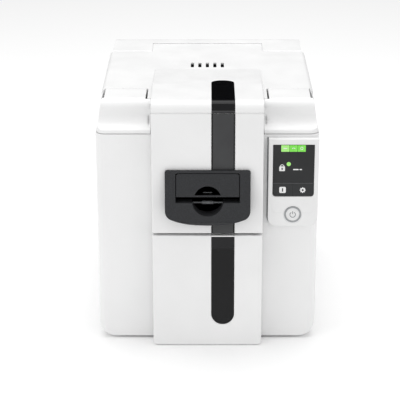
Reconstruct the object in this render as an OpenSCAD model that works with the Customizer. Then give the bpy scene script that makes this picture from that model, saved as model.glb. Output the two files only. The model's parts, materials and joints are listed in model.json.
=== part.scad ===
// ID card printer: desktop printer for plastic cards, with a hinged lid,
// a front door with the card mouth, and an output drawer below it.
// Millimetres, +Z up, the front faces -Y. In every module the second coordinate
// is the depth behind the casing's flat front face; in_place() moves it to the frame.

/* [Casing] */
// Width of the lower casing
case_w = 236; // [232:1:248]
// Depth of the lower casing behind its front face
case_d = 291; // [288:1:310]
// Height of the seam at the top of the lower casing
seam_z = 235; // [233:1:238]
// Wall of the moulded covers
wall = 2.6; // [2.2:0.1:3]
// Radius of the casing's lower corners, seen from the front
low_corner_r = 19; // [14:1:21]
// Radius of the casing's upright corners, seen from above
edge_r = 7; // [5:0.5:10]
// Height of the rubber feet
foot_h = 2; // [1.5:0.5:3]
// Radius of a rubber foot
foot_r = 9; // [7:0.5:12]
// Seam between two covers that stay together
seam_gap = 0.5; // [0.3:0.1:0.8]
// Gap in front of a cover that opens
open_gap = 1; // [0.9:0.1:1.6]

/* [Lid and shoulders] */
// Width across the lid and the shoulders
top_w = 228; // [224:1:230]
// Height of the lid's side surface
top_z = 268.9; // [267:0.1:272]
// Depth of the lid's front edge at the sides
lid_front = 55.8; // [54:0.2:60]
// Depth of the lid's rear edge
lid_rear = 213; // [210:1:216]
// Depth of the shoulder's wall
shoulder_d = 11.8; // [10:0.2:14]
// Height of the shoulder's front lip
ledge_z = 240.1; // [239.5:0.1:241]
// Radius of the fold at the front of the lid and the shoulders
fold_r = 9.4; // [7:0.2:11]
// Radius of the hollow below the shoulder's wall
hollow_r = 14; // [12:0.5:15]
// Flare of a shoulder's side at its foot, past the lid's side
flare = 2.8; // [2:0.1:3.2]
// How far a shoulder's side stands in from the lid's side at the top
lean_in = 1.6; // [1:0.1:1.8]
// Rise of the raised centre band above the lid's sides
crown_h = 7.1; // [5:0.1:9]
// Depth at which the band starts to slope down
crown_flat = 50; // [40:1:70]
// Depth at which the band has met the lid's surface
crown_end = 135; // [125:1:138]
// Distance from the band to a release key
key_in = 6.6; // [6.2:0.1:8]
// Distance from a release key to the shoulder's outer side
key_out = 4.8; // [4.4:0.1:6]
// Gap beside a release key
key_gap = 1.2; // [1:0.1:1.4]

/* [Centre band] */
// Width of the raised centre band
band_w = 117.2; // [114:0.2:118]
// How far the band stands out from the casing's front face
band_out = 19.7; // [18:0.1:22]
// Height of the seam between the front door and the lid
tongue_z = 264; // [262:0.5:265]
// Height of the front door's lower edge
door_z = 131; // [129:0.5:133]
// Gap between the front door and the output cover
split_gap = 2.4; // [2.2:0.1:3]
// Width of the dark strip
strip_w = 24.3; // [20:0.1:28]
// Centre of the dark strip, to the right of the middle
strip_x = 16.5; // [12:0.5:20]
// Depth of the groove that the strip lies in
strip_t = 0.8; // [0.6:0.1:1.2]
// Height of the lower end of the output window
window_z = 25.3; // [20:1:40]
// Depth of the strip's rounded end on the lid
strip_end = 68; // [60:0.1:70]

/* [Card mouth] */
// Width of the block
mouth_w = 89.6; // [84:0.2:92]
// Height of the block's upper edge
mouth_top = 202.4; // [200:0.1:206]
// Height of the block's lowest point
mouth_low = 144.2; // [142:0.5:146]
// How far the block's lip stands out from the band
lip_out = 14.3; // [12:0.1:16]
// How far the block's upper edge stands out from the band
brow_out = 3.5; // [3:0.1:4.5]
// Width of the flap
flap_w = 66.3; // [64:0.1:68]
// Thickness of the flap
flap_t = 2.6; // [2:0.1:2.8]
// Height of the flap's lower edge
flap_z = 174.9; // [174.4:0.1:175.4]
// Height of the card slot
slot_h = 5.4; // [4.8:0.1:5.8]
// Radius of the thumb recess
recess_r = 16.4; // [14:0.1:17]
// Radius of the mouth roller
mouth_roller_r = 1.9; // [1.8:0.1:2.4]

/* [Control panel] */
// Distance from the band to the control panel
panel_gap = 5.7; // [5:0.1:7]
// Distance from the control panel to the casing's side
panel_side = 0.7; // [0.4:0.1:2]
// Height of the control panel's upper edge
panel_top = 231.8; // [230:0.1:233]
// Height of the control panel's lower edge
panel_low = 134.1; // [130:0.1:136]
// How far the control panel stands out from the casing
panel_out = 7; // [6.6:0.2:9]
// Border beside the display
screen_margin = 4.9; // [4.5:0.1:6]
// Height of the display
screen_h = 57; // [54:0.1:59]
// Height of the display's upper edge
screen_top = 225.3; // [224:0.1:226.5]
// Radius of the power button
button_r = 7.3; // [6:0.1:7.5]
// Height of the power button's centre
button_z = 147.8; // [146:0.1:149]
// Travel of the power button
button_travel = 1.2; // [0.8:0.1:1.2]

/* [Mechanism] */
// Height of the card path
path_z = 171; // [170.6:0.1:171.2]
// Width of a card
card_w = 54; // [53.98:0.01:54.5]
// Length of a card
card_l = 85.6; // [85:0.1:86]
// Distance between the side frames
frame_span = 68; // [67.8:0.1:69]
// Thickness of the side frames
frame_t = 2; // [1.5:0.1:2.4]
// Radius of the roller shafts
shaft_r = 3; // [2.5:0.1:3.2]
// Radius of the rubber on the drive rollers
rubber_r = 6.5; // [6:0.1:6.6]
// Radius of the platen roller
platen_r = 7; // [6.6:0.1:7.1]
// Radius of the belt pulleys
pulley_r = 6; // [5:0.1:6.4]
// Radius of a ribbon spool's journal
journal_r = 3; // [2.5:0.1:3.5]
// Radius of the full ribbon on the supply spool
supply_r = 15; // [12:0.5:16]
// Radius of the used ribbon on the take-up spool
takeup_r = 12; // [9:0.5:12.2]
// Side of the drive motor
motor_s = 42; // [38:1:42]

/* [Hidden] */
$fn = 40;

run_gap = 0.05;                                   // radial clearance of a shaft in its bore
front_y = (band_out + lip_out - case_d) / 2;      // the object's box is centred on y = 0
base_z = foot_h + wall;                           // inside floor of the casing
base_t = 3;
floor_z = base_z + base_t;                        // top of the base plate
half_band = band_w / 2;
half_top = top_w / 2;
frame_x = frame_span / 2;                         // inner face of a side frame
band_face = -band_out;                            // depth of the band's front face
crown_z = top_z + crown_h;
rear_w = top_w - 2 * wall - 1.2;                  // rear housing passes between the lid's skirts
mouth_open_w = band_w - 20;                       // opening in the casing behind the band

// lid hinge, in the trough of the rear housing
hinge_d = lid_rear + 15;
hinge_z = top_z - 10.9;
trough_x = 65;
swing_r = 26.4;                                   // the trough's rear is round, for the tail's swing
trough_z = hinge_z - swing_r;
hinge_pin_r = 2.5;
arm_x0 = trough_x - 7;
arm_x1 = trough_x - 1.8;
tail_x = trough_x - 0.5;                          // the lid's tail covers the trough
tail_rear = lid_rear + 39;
tail_top = top_z - 0.8;

// door hinge, just behind the band's face at the door's lower edge
door_pin_d = band_face + 4.8;
door_pin_z = door_z + 4;
door_pin_r = 1.6;
door_ear_r = 2.9;
door_ear_x = band_w / 2 - 9.6;                    // inner side of the casing's ear
door_ear_t = 2.8;

// release key, a plate in the shoulder's top, and the hook behind it
key_x0 = half_band + key_in;
key_x1 = half_top - key_out;
key_front = shoulder_d + fold_r + 0.15;
key_rear = lid_front - 1.2;
key_low = top_z - 8;
key_d = key_front + 3.5;
key_z = top_z - 6;
trunnion_r = 1.5;
trunnion_l = 2.4;
hook_x = key_x0 + 18.8;
hook_w = 8;
hook_d = lid_front - 5.9;
hook_z = seam_z + 8;
hook_nose_z = hook_z + 11;
lever_d = hook_d - (hook_d - key_d) / 3;          // the key presses the hook here, at twice its own angle
lever_gap = 0.25;

// output drawer
tray_w = card_w + 8;
tray_l = card_l + 24;
tray_z = floor_z + 1.3;
tray_h = door_z - tray_z - 14;
cover_top = door_z - split_gap;

// card path
shaft_z = path_z - platen_r;
pick_d = 35;
feed_d = 96;
platen_d = 150;
transport_d = 190;
shaft_depths = [pick_d, feed_d, platen_d, transport_d];
cleaner_r = 6;
cleaner_z = path_z + cleaner_r + 0.5;
hopper_z = path_z - 0.4;
hopper_in = card_w + 1.5;
hopper_front = -6;
hopper_rear = hopper_front + card_l + 2.4;

// belt on the left of the left frame, pulleys all of one size
belt_x = -(frame_x + frame_t + 5);
belt_w = 5;
belt_t = 1.2;
motor_d = platen_d;
motor_z = shaft_z - 52;

// ribbon cassette
cassette_z = path_z + 29;
takeup_d = 98;
takeup_z = cassette_z + 20;
supply_d = transport_d;
supply_z = cassette_z + 14;
cheek_t = 2;
cheek_x = frame_x - 4;
spool_l = 2 * (cheek_x - 1);

// rear of the machine
rear_in = case_d - wall;
fan_x = -60;
fan_z = 76;
fan_s = 40;
inlet_x = 60;
inlet_z = 52;

// ---- helpers --------------------------------------------------------------

module in_place() translate([0, front_y, 0]) children();
module block(low, high) translate(low) cube(high - low);
module across(w, x = 0) translate([x, 0, 0]) rotate([90, 0, 90]) linear_extrude(w, center = true) children();
module along(d0, d1) translate([0, d1, 0]) rotate([90, 0, 0]) linear_extrude(d1 - d0) children();
module upright(z0, z1) translate([0, 0, z0]) linear_extrude(z1 - z0) children();
module rod_x(d, z, r, x0, x1) translate([x0, d, z]) rotate([0, 90, 0]) cylinder(r = r, h = x1 - x0);
module rod_y(x, z, r, d0, d1) translate([x, d0, z]) rotate([-90, 0, 0]) cylinder(r = r, h = d1 - d0);
function arc(c, r, a0, a1, n = 8) = [for (i = [0:n])
    let (a = a0 + (a1 - a0) * i / n) [c[0] + r * cos(a), c[1] + r * sin(a)]];

// rectangle with round corners, from its two corners
module rounded(low, high, r) {
    translate([low[0] + r, low[1]]) square([high[0] - low[0] - 2 * r, high[1] - low[1]]);
    translate([low[0], low[1] + r]) square([high[0] - low[0], high[1] - low[1] - 2 * r]);
    for (x = [low[0] + r, high[0] - r], y = [low[1] + r, high[1] - r]) translate([x, y]) circle(r);
}

// upright rectangle with only its lower corners round
module tub(w, z0, z1, r) {
    translate([-w / 2, z0 + r]) square([w, z1 - z0 - r]);
    translate([-w / 2 + r, z0]) square([w - 2 * r, r + 1]);
    for (x = [-1, 1]) translate([x * (w / 2 - r), z0 + r]) circle(r);
}

// ---- fixed casing ---------------------------------------------------------

rim_w = 8;
module casing_form(inset, top) intersection() {
    along(inset, case_d - inset) tub(case_w - 2 * inset, foot_h + inset, top, low_corner_r - inset);
    upright(foot_h, top)
        rounded([-case_w / 2 + inset, inset], [case_w / 2 - inset, case_d - inset], edge_r - inset);
}

socket_low = 30;
socket_high = 112;
socket_w = 170;
module lower_casing() color("white") in_place() {
    difference() {
        casing_form(0, seam_z);
        casing_form(wall, seam_z - wall);
        block([-case_w / 2 + rim_w, rim_w, seam_z - wall - 1], [case_w / 2 - rim_w, case_d - rim_w, seam_z + 1]);
        block([-mouth_open_w / 2, -1, floor_z + 0.4], [mouth_open_w / 2, rim_w + 1, seam_z + 1]);
        block([-socket_w / 2, rear_in - 1, socket_low], [socket_w / 2, case_d + 1, socket_high]);
    }
    // ears for the front door's hinge pins
    for (side = [-1, 1]) difference() {
        across(door_ear_t, side * (door_ear_x + door_ear_t / 2)) {
            translate([door_pin_d, door_pin_z]) circle(door_ear_r);
            translate([door_pin_d, door_pin_z - door_ear_r]) square([-door_pin_d + 1, 2 * door_ear_r]);
        }
        rod_x(door_pin_d, door_pin_z, door_pin_r + run_gap, side * door_ear_x - 8, side * door_ear_x + 8);
    }
}

foot_x = case_w / 2 - low_corner_r - foot_r - 6;
foot_depths = [foot_r + 14, case_d - foot_r - 14];
module rubber_feet() color("#222222") in_place()
    for (x = [-foot_x, foot_x], d = foot_depths) translate([x, d, 0]) cylinder(r = foot_r, h = foot_h);

screw_r = 1.5;
flange_w = 12;
screw_depths = [30, 110, 190];
screw_x = frame_x + frame_t + flange_w / 2;
runner_x = tray_w / 2 - 9;
module base_plate() color("#8c9094") in_place() {
    difference() {
        block([-case_w / 2 + low_corner_r + 2, 12, base_z], [case_w / 2 - low_corner_r - 2, case_d - 12, floor_z]);
        for (x = [-screw_x, screw_x], d = screw_depths)
            translate([x, d, base_z - 1]) cylinder(r = screw_r + run_gap, h = base_t + 2);
    }
    for (x = [-runner_x, runner_x]) block([x - 2, 14, floor_z], [x + 2, tray_l - 4, tray_z - 0.3]);
}

frame_front = 6;
frame_rear = 208;
frame_top = seam_z + 1;
module side_frame_right() color("#a4a8ab") in_place() side_frame();
module side_frame_left() color("#a4a8ab") in_place() mirror([1, 0, 0]) side_frame();
module side_frame() {
    difference() {
        block([frame_x, frame_front, floor_z], [frame_x + frame_t, frame_rear, frame_top]);
        for (d = shaft_depths) rod_x(d, shaft_z, shaft_r + run_gap, frame_x - 1, frame_x + frame_t + 1);
        rod_x(feed_d, cleaner_z, shaft_r + run_gap, frame_x - 1, frame_x + frame_t + 1);
        rod_x(motor_d, motor_z, shaft_r + 1, frame_x - 1, frame_x + frame_t + 1);
    }
    difference() {
        block([frame_x + frame_t, frame_front, floor_z],
            [frame_x + frame_t + flange_w, frame_rear, floor_z + frame_t]);
        for (d = screw_depths)
            translate([screw_x, d, floor_z - 1]) cylinder(r = screw_r + run_gap, h = frame_t + 2);
    }
    // ledges that the ribbon cassette stands on
    for (d = [takeup_d, supply_d])
        block([cheek_x - cheek_t, d - 8, cassette_z - 4.3], [frame_x, d + 8, cassette_z - 0.3]);
}

module frame_screws() color("#c8c8c8") in_place()
    for (x = [-screw_x, screw_x], d = screw_depths) translate([x, d, base_z]) {
        cylinder(r = screw_r, h = base_t + frame_t);
        translate([0, 0, base_t + frame_t]) cylinder(r = 2 * screw_r, h = 2);
    }

// ---- shoulders, release keys and latch hooks ------------------------------

// side outline of a shoulder, drawn in by an inset; the rear edge and the bottom are given
function shoulder_outline(inset, rear, low) = concat(
    [[rear, low], [rear, top_z - inset]],
    arc([shoulder_d + fold_r, top_z - fold_r], fold_r - inset, 90, 180),
    arc([shoulder_d - hollow_r, hollow_z], hollow_r + inset, 0, lip_turn - 90),
    arc([lip_r, lip_z0], lip_r - inset, 90 + lip_turn, 180, 4), [[inset, low]]);

lip_r = 3;
lip_turn = 30;                                    // slope between the hollow and the lip
lip_z0 = ledge_z - lip_r * cos(lip_turn);
hollow_z = ledge_z + hollow_r * cos(lip_turn)
    + tan(lip_turn) * (shoulder_d - hollow_r * (1 - sin(lip_turn)) - lip_r * (1 - sin(lip_turn)));
shoulder_low = seam_z + seam_gap;
shoulder_x0 = half_band + 1;
shoulder_rear = lid_front - 1.6;
shelf_z = shoulder_low + wall;
filler_x = key_x0 - 1.8;                          // the lid's filler leaves a gap beside the key
filler_room = top_z - wall - 1.2;
module shoulder_form(inset, low, x0, x1, rear = shoulder_rear)
    across(x1 - x0, (x0 + x1) / 2) polygon(shoulder_outline(inset, rear, low));

plan_r = edge_r + 2;
side_round = 2.5;
module leaning_side() along(-1, lid_front + 5) polygon(concat(
    [[0, shoulder_low - 1], [half_top + flare, shoulder_low - 1], [half_top + flare, shoulder_low]],
    arc([half_top - lean_in - side_round, top_z - side_round], side_round, 0, 90, 4), [[0, top_z]]));
module plan_corner(x1, d0, z0, z1) upright(z0, z1) {
    square([x1 - plan_r, lid_front + 5]);
    translate([0, d0 + plan_r]) square([x1, lid_front + 5 - plan_r]);
    translate([x1 - plan_r, d0 + plan_r]) circle(plan_r);
}

module shoulder() {
    difference() {
        intersection() {
            shoulder_form(0, shoulder_low, shoulder_x0, half_top + flare);
            plan_corner(half_top + flare, 0, shoulder_low, top_z + 1);
            leaning_side();
        }
        shoulder_form(wall, shoulder_low - 1, shoulder_x0 + wall, key_x1 + key_gap, shoulder_rear + 1);
        // opening for the release key
        block([key_x0 - 1, key_front - 0.15, filler_room], [key_x1 + key_gap, lid_front, top_z + 1]);
        // room for the lid's filler beside the band
        block([shoulder_x0 - 1, filler_front - 0.6, filler_room], [key_x0, lid_front, top_z + 1]);
        rod_x(key_d, key_z, trunnion_r + run_gap, key_x1 - 1, key_x1 + trunnion_l + 0.6);
    }
    difference() {
        union() {
            // shelf, the key's inner ear and the hook's two ears
            block([shoulder_x0 + 1, 26, shoulder_low], [half_top - 2, shoulder_rear, shelf_z]);
            block([shoulder_x0 + 1, key_d - 3.4, shoulder_low + 4], [key_x0 - key_gap, key_d + 3.4, filler_room]);
            for (x = [hook_x - hook_w / 2 - 3, hook_x + hook_w / 2 + 0.5])
                block([x, hook_d - 4, shelf_z - 1], [x + 2.5, hook_d + 4, hook_z + 4]);
        }
        rod_x(key_d, key_z, trunnion_r + run_gap, key_x0 - trunnion_l - 1.2, key_x0 + 1);
        rod_x(hook_d, hook_z, trunnion_r + run_gap, hook_x - hook_w, hook_x + hook_w);
    }
}
module shoulder_right() color("white") in_place() shoulder();
module shoulder_left() color("white") in_place() mirror([1, 0, 0]) shoulder();

module release_key() {
    // flat plate with a skirt at its sides and rear
    difference() {
        block([key_x0, key_front, key_low], [key_x1, key_rear, top_z]);
        block([key_x0 + wall, key_front - 1, key_low - 1], [key_x1 - wall, key_rear - wall, top_z - wall]);
    }
    // rib that presses the hook's lever
    block([hook_x - 2.5, lever_d - 0.8, hook_nose_z + 3 + lever_gap], [hook_x + 2.5, lever_d + 0.8, top_z - wall + 0.2]);
    rod_x(key_d, key_z, trunnion_r, key_x0 - trunnion_l, key_x0 + 1);
    rod_x(key_d, key_z, trunnion_r, key_x1 - 1, key_x1 + trunnion_l);
}
module release_key_right() color("white") in_place() release_key();
module release_key_left() color("white") in_place() mirror([1, 0, 0]) release_key();

hook_tip_d = lid_front - 0.5;
module latch_hook() difference() {
    union() {
        rod_x(hook_d, hook_z, 3.2, hook_x - hook_w / 2, hook_x + hook_w / 2);
        block([hook_x - hook_w / 2, hook_d - 2, hook_z], [hook_x + hook_w / 2, hook_d + 2, hook_nose_z + 3]);
        block([hook_x - hook_w / 2, lever_d - 2, hook_nose_z], [hook_x + hook_w / 2, hook_tip_d, hook_nose_z + 3]);
    }
    rod_x(hook_d, hook_z, trunnion_r + run_gap, hook_x - hook_w, hook_x + hook_w);
}
module latch_hook_right() color("#d8d8d4") in_place() latch_hook();
module latch_hook_left() color("#d8d8d4") in_place() mirror([1, 0, 0]) latch_hook();
module latch_pins() color("silver") in_place() for (side = [-1, 1])
    rod_x(hook_d, hook_z, trunnion_r, side * hook_x - hook_w / 2 - 3, side * hook_x + hook_w / 2 + 3);

// ---- lid ------------------------------------------------------------------

filler_front = shoulder_d + fold_r - 2;
skirt_z = seam_z + 0.8;
skirt_front = lid_front + 1.8;
lid_corner_r = 5;
tongue_low = tongue_z + open_gap / 2;
// side outline of the raised band, drawn in by an inset
function crown_outline(inset, low) = concat(
    [[band_face + inset, low]],
    arc([band_face + fold_r, crown_z - fold_r], fold_r - inset, 180, 90),
    [[crown_flat, crown_z - inset], [crown_end, top_z - inset], [crown_end, low]]);

slot_count = 5;
slot_pitch = 8.5;
slot_w = 3.4;
slot_d0 = 142.5;
slot_d1 = 163;
module lid() color("white") in_place() difference() {
    union() {
        difference() {
            union() {
                // top and side skirts
                difference() {
                    along(lid_front, lid_rear) lid_section(0, skirt_z);
                    along(lid_front + wall, lid_rear + 1) lid_section(wall, skirt_z - 1);
                    // the front wall stays only near the top, and the skirts lean back
                    block([-half_top + wall, lid_front - 1, skirt_z - 1],
                        [half_top - wall, lid_front + wall + 1, hook_nose_z - 3]);
                    block([-half_band, lid_front - 1, skirt_z - 1],
                        [half_band, lid_front + wall + 1, top_z - wall]);
                    across(top_w + 2) polygon([[lid_front - 1, skirt_z - 1], [skirt_front, skirt_z - 1],
                        [lid_front, skirt_z + 22], [lid_front - 1, skirt_z + 22]]);
                }
                across(band_w) polygon(crown_outline(0, tongue_low));
                // tail over the trough of the rear housing
                block([-tail_x, lid_rear - 6, tail_top - wall], [tail_x, tail_rear, tail_top]);
            }
            across(band_w - 2 * wall) polygon(crown_outline(wall, tongue_low - 1));
            // the band's side walls end above the lid's inside
            block([-half_band - 1, lid_front + wall, tongue_low - 1], [half_band + 1, crown_end + 1, top_z - wall]);
        }
        for (side = [-1, 1]) across(arm_x1 - arm_x0, side * (arm_x0 + arm_x1) / 2) hinge_arm_outline();
    }
    // windows that the latch hooks catch in
    for (side = [-1, 1])
        block([side * hook_x - hook_w / 2 - 1, lid_front - 1, hook_nose_z - 0.8],
            [side * hook_x + hook_w / 2 + 1, lid_front + wall + 1, hook_nose_z + 3.8]);
    for (i = [0:slot_count - 1])
        block([(i - (slot_count - 1) / 2) * slot_pitch - slot_w / 2, slot_d0, top_z - 6],
            [(i - (slot_count - 1) / 2) * slot_pitch + slot_w / 2, slot_d1, crown_z]);
    strip_form();
    for (side = [-1, 1])
        rod_x(hinge_d, hinge_z, hinge_pin_r + run_gap, side * (arm_x0 + arm_x1) / 2 - 5,
            side * (arm_x0 + arm_x1) / 2 + 5);
}

module lid_section(inset, low) {
    translate([-half_top + inset, low]) square([top_w - 2 * inset, top_z - lid_corner_r - low]);
    translate([-half_top + lid_corner_r, low]) square([top_w - 2 * lid_corner_r, top_z - inset - low]);
    for (side = [-1, 1])
        translate([side * (half_top - lid_corner_r), top_z - lid_corner_r]) circle(lid_corner_r - inset);
}

module hinge_arm_outline() {
    polygon([[lid_rear - 18, top_z - wall + 0.2], [hinge_d, top_z - wall - 0.6],
        [hinge_d, hinge_z - 6], [hinge_d - 6, hinge_z - 6]]);
    translate([hinge_d, hinge_z]) circle(6);
}

// flat fillers clipped to the lid, between the band and the release keys
module side_fillers() color("white") in_place() for (side = [-1, 1])
    block([side > 0 ? half_band : -filler_x, filler_front, top_z - wall],
        [side > 0 ? filler_x : -half_band, lid_front, top_z]);

// the black inlay that runs over the fold: the band's own skin, one groove deep
module strip_form() intersection() {
    difference() {
        across(strip_w, strip_x) polygon(crown_outline(0, tongue_low - 1));
        across(strip_w + 2, strip_x) polygon(crown_outline(strip_t, tongue_low - 2));
    }
    upright(tongue_low, crown_z + 1) {
        translate([strip_x - strip_w / 2, band_face - 1])
            square([strip_w, strip_end - strip_w / 2 - band_face + 1]);
        translate([strip_x, strip_end - strip_w / 2]) circle(strip_w / 2);
    }
}
module lid_strip() color("#141414") in_place() strip_form();

head_z = path_z + 0.6;
head_w = 2 * (cheek_x - cheek_t) - 2;
head_half = 8;
module print_head() color("#5a5f63") in_place() difference() {
    block([-head_w / 2, platen_d - head_half, head_z], [head_w / 2, platen_d + head_half, head_z + 14]);
    for (x = [-head_w / 2 + 6:6:head_w / 2 - 6])
        block([x, platen_d - head_half - 1, head_z + 6], [x + 2, platen_d + head_half + 1, head_z + 15]);
    block([-head_w / 2 - 1, platen_d - head_half - 1, head_z - 1], [head_w / 2 + 1, platen_d - 3, head_z + 2]);
}
module head_bracket() color("#b4b8bb") in_place() {
    block([-22, platen_d + 1, head_z + 14], [22, platen_d + 3, top_z - wall]);
    for (x = [-24, 22]) block([x, platen_d - 5, head_z + 14], [x + 2, platen_d + 5, top_z - wall]);
}

// ---- rear housing ---------------------------------------------------------

rear_front = lid_rear + 1.6;
rear_fold = 24;
function rear_outline(inset, low) = concat(
    [[rear_front + inset, low], [rear_front + inset, top_z - 2], [rear_front + inset + 2, top_z - inset]],
    arc([case_d - rear_fold, top_z - rear_fold], rear_fold - inset, 90, 0), [[case_d - inset, low]]);
module trough_room() {
    block([-trough_x, rear_front - 1, trough_z], [trough_x, hinge_d, top_z + 1]);
    block([-trough_x, hinge_d - 1, hinge_z], [trough_x, tail_rear + 0.2, top_z + 1]);
    rod_x(hinge_d, hinge_z, swing_r, -trough_x, trough_x);
}
module rear_housing() color("white") in_place() {
    difference() {
        across(rear_w) polygon(rear_outline(0, shoulder_low));
        across(rear_w - 2 * wall) polygon(rear_outline(wall, shoulder_low - 1));
        trough_room();
    }
    difference() {
        block([-trough_x - wall, rear_front, trough_z - wall],
            [trough_x + wall, hinge_d + swing_r + wall, top_z - wall + 0.2]);
        trough_room();
        for (side = [-1, 1])
            rod_x(hinge_d, hinge_z, hinge_pin_r + run_gap, side * (trough_x + 1) - 3, side * (trough_x + 1) + 3);
    }
}
module lid_hinge_pins() color("silver") in_place() for (side = [-1, 1])
    rod_x(hinge_d, hinge_z, hinge_pin_r, min(side * (arm_x0 - 1), side * (trough_x + wall)),
        max(side * (arm_x0 - 1), side * (trough_x + wall)));

// ---- front door and card mouth --------------------------------------------

door_top = tongue_z - open_gap / 2;
return_d = -1.2;
cheek_rear = shoulder_d + 8;
mouth_cx = 0.3;
mouth_cz = path_z + 0.5;
well_w = 74;
well_low = mouth_cz - 21;
well_high = mouth_top - 6;
module front_door() color("white") in_place() difference() {
    union() {
        difference() {
            union() {
                block([-half_band, band_face, door_z], [half_band, return_d, door_top]);
                // deeper cheeks that close the gap to the shoulders
                across(band_w) polygon([[return_d - 1, seam_z + open_gap], [cheek_rear, seam_z + open_gap],
                    [cheek_rear, door_top - 5], [return_d, door_top], [return_d - 1, door_top]]);
            }
            block([-half_band + wall, band_face + wall, door_z + wall], [half_band - wall, cheek_rear + 1, door_top + 1]);
        }
        for (side = [-1, 1]) rod_x(door_pin_d, door_pin_z, 3.6,
            side * (half_band - 3.5) - 2.2, side * (half_band - 3.5) + 2.2);
    }
    block([strip_x - strip_w / 2, band_face - 1, door_z - 1], [strip_x + strip_w / 2, band_face + strip_t, door_top + 1]);
    block([mouth_cx - well_w / 2, band_face - 1, well_low], [mouth_cx + well_w / 2, band_face + wall + 1, well_high]);
    // pin bores, and room for the casing's hinge ears
    for (side = [-1, 1]) {
        rod_x(door_pin_d, door_pin_z, door_pin_r + run_gap,
            side * (half_band - 4.4) - 3.5, side * (half_band - 4.4) + 3.5);
        block([side * (door_ear_x + door_ear_t / 2) - door_ear_t / 2 - 0.8, door_pin_d - door_ear_r - 0.5, door_z - 1],
            [side * (door_ear_x + door_ear_t / 2) + door_ear_t / 2 + 0.8, 0, door_pin_z + door_ear_r + 1.5]);
    }
}
module door_hinge_pins() color("silver") in_place() for (side = [-1, 1])
    rod_x(door_pin_d, door_pin_z, door_pin_r, side * (half_band - 5.6) - 4.6, side * (half_band - 5.6) + 4.6);
module door_strip() color("#3c3c3e") in_place()
    for (range = [[door_z, well_low], [well_high, door_top]])
        block([strip_x - strip_w / 2, band_face, range[0]], [strip_x + strip_w / 2, band_face + strip_t, range[1]]);

// front outline of the block: upright sides, round lower corners, bowed lower edge
corner_r = 10;
bow = 6.8;
bow_half = mouth_w / 2 - corner_r * (1 - cos(70));
bow_r = (bow_half * bow_half + bow * bow) / (2 * bow);
corner_z = mouth_low + bow + corner_r * sin(70);
module mouth_outline() translate([mouth_cx, 0]) polygon(concat(
    [[mouth_w / 2 - 1.5, mouth_top], [-mouth_w / 2 + 1.5, mouth_top], [-mouth_w / 2, mouth_top - 1.5]],
    arc([-mouth_w / 2 + corner_r, corner_z], corner_r, 180, 250),
    arc([0, mouth_low + bow_r], bow_r, 270 - asin(bow_half / bow_r), 270 + asin(bow_half / bow_r), 12),
    arc([mouth_w / 2 - corner_r, corner_z], corner_r, 290, 360), [[mouth_w / 2, mouth_top - 1.5]]));
// side outline: a wedge that swells to the lip and rounds under it
lip_z = mouth_low + 5;
under_r = 5.5;
face_d = function (z) band_face - brow_out - (mouth_top - z) * (lip_out - brow_out) / (mouth_top - lip_z);
module wedge(out) across(mouth_w + 2, mouth_cx) polygon(concat(
    [[band_face, mouth_low - 1], [band_face, mouth_top], [band_face - brow_out + out, mouth_top]],
    arc([band_face - lip_out + under_r + out, lip_z], under_r, 180, 250)));

slot_low = flap_z - slot_h - 0.5;
pocket_x = flap_w / 2 + 0.5;
flap_top = mouth_top - 3;
flap_axis_z = flap_top - 2.4;
flap_axis_d = face_d(flap_axis_z) + flap_t / 2 + 0.5;
roller_d = band_face - 1.5;
roller_z = slot_low - mouth_roller_r - 0.4;
roller_shaft_r = 1;
roller_half = 6.1;
recess_floor = band_face + 4;
module card_mouth() color("#2c2d2f") in_place() difference() {
    union() {
        intersection() {
            along(band_face - lip_out - 1, band_face) mouth_outline();
            wedge(0);
        }
        // body that reaches through the door
        block([mouth_cx - well_w / 2 + 0.2, band_face - 1, well_low + 0.2],
            [mouth_cx + well_w / 2 - 0.2, band_face + wall + 4, well_high - 0.2]);
    }
    // pocket behind the flap
    block([mouth_cx - pocket_x, band_face - lip_out - 5, flap_z - 0.5],
        [mouth_cx + pocket_x, band_face + 0.5, flap_top + 0.4]);
    // card slot, right through
    block([mouth_cx - pocket_x, band_face - lip_out - 5, slot_low],
        [mouth_cx + pocket_x, band_face + wall + 6, flap_z]);
    // thumb recess
    rod_y(mouth_cx, mouth_cz, recess_r, band_face - lip_out - 5, recess_floor);
    for (side = [-1, 1]) rod_x(flap_axis_d, flap_axis_z, 1 + run_gap,
        mouth_cx + side * (pocket_x + 1) - 3, mouth_cx + side * (pocket_x + 1) + 3);
    rod_x(roller_d, roller_z, roller_shaft_r + run_gap, mouth_cx - recess_r - 3, mouth_cx + recess_r + 3);
}
flap_notch_r = 14.6;
notch_bar = 1.8;                                  // the flap's lower edge runs on below its notch
module mouth_flap() color("#2c2d2f") in_place() {
    difference() {
        intersection() {
            along(band_face - lip_out - 1, band_face) rounded([mouth_cx - flap_w / 2, flap_z - 6],
                [mouth_cx + flap_w / 2, flap_top], 3);
            difference() {
                wedge(0.5);
                wedge(0.5 + flap_t);
            }
            block([-mouth_w, band_face - lip_out - 5, flap_z], [mouth_w, band_face, mouth_top]);
        }
        intersection() {
            rod_y(mouth_cx, mouth_cz, flap_notch_r, band_face - lip_out - 5, band_face);
            block([-mouth_w, band_face - lip_out - 5, flap_z + notch_bar], [mouth_w, band_face, mouth_top]);
        }
    }
    for (side = [-1, 1]) rod_x(flap_axis_d, flap_axis_z, 1, mouth_cx + side * flap_w / 2 - (side < 0 ? 2 : 1),
        mouth_cx + side * flap_w / 2 + (side < 0 ? 1 : 2));
}
module mouth_roller() color("#9a9c9e") in_place() {
    rod_x(roller_d, roller_z, mouth_roller_r, mouth_cx - roller_half, mouth_cx + roller_half);
    rod_x(roller_d, roller_z, roller_shaft_r, mouth_cx - recess_r - 1.5, mouth_cx + recess_r + 1.5);
}

// ---- output drawer --------------------------------------------------------

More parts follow.
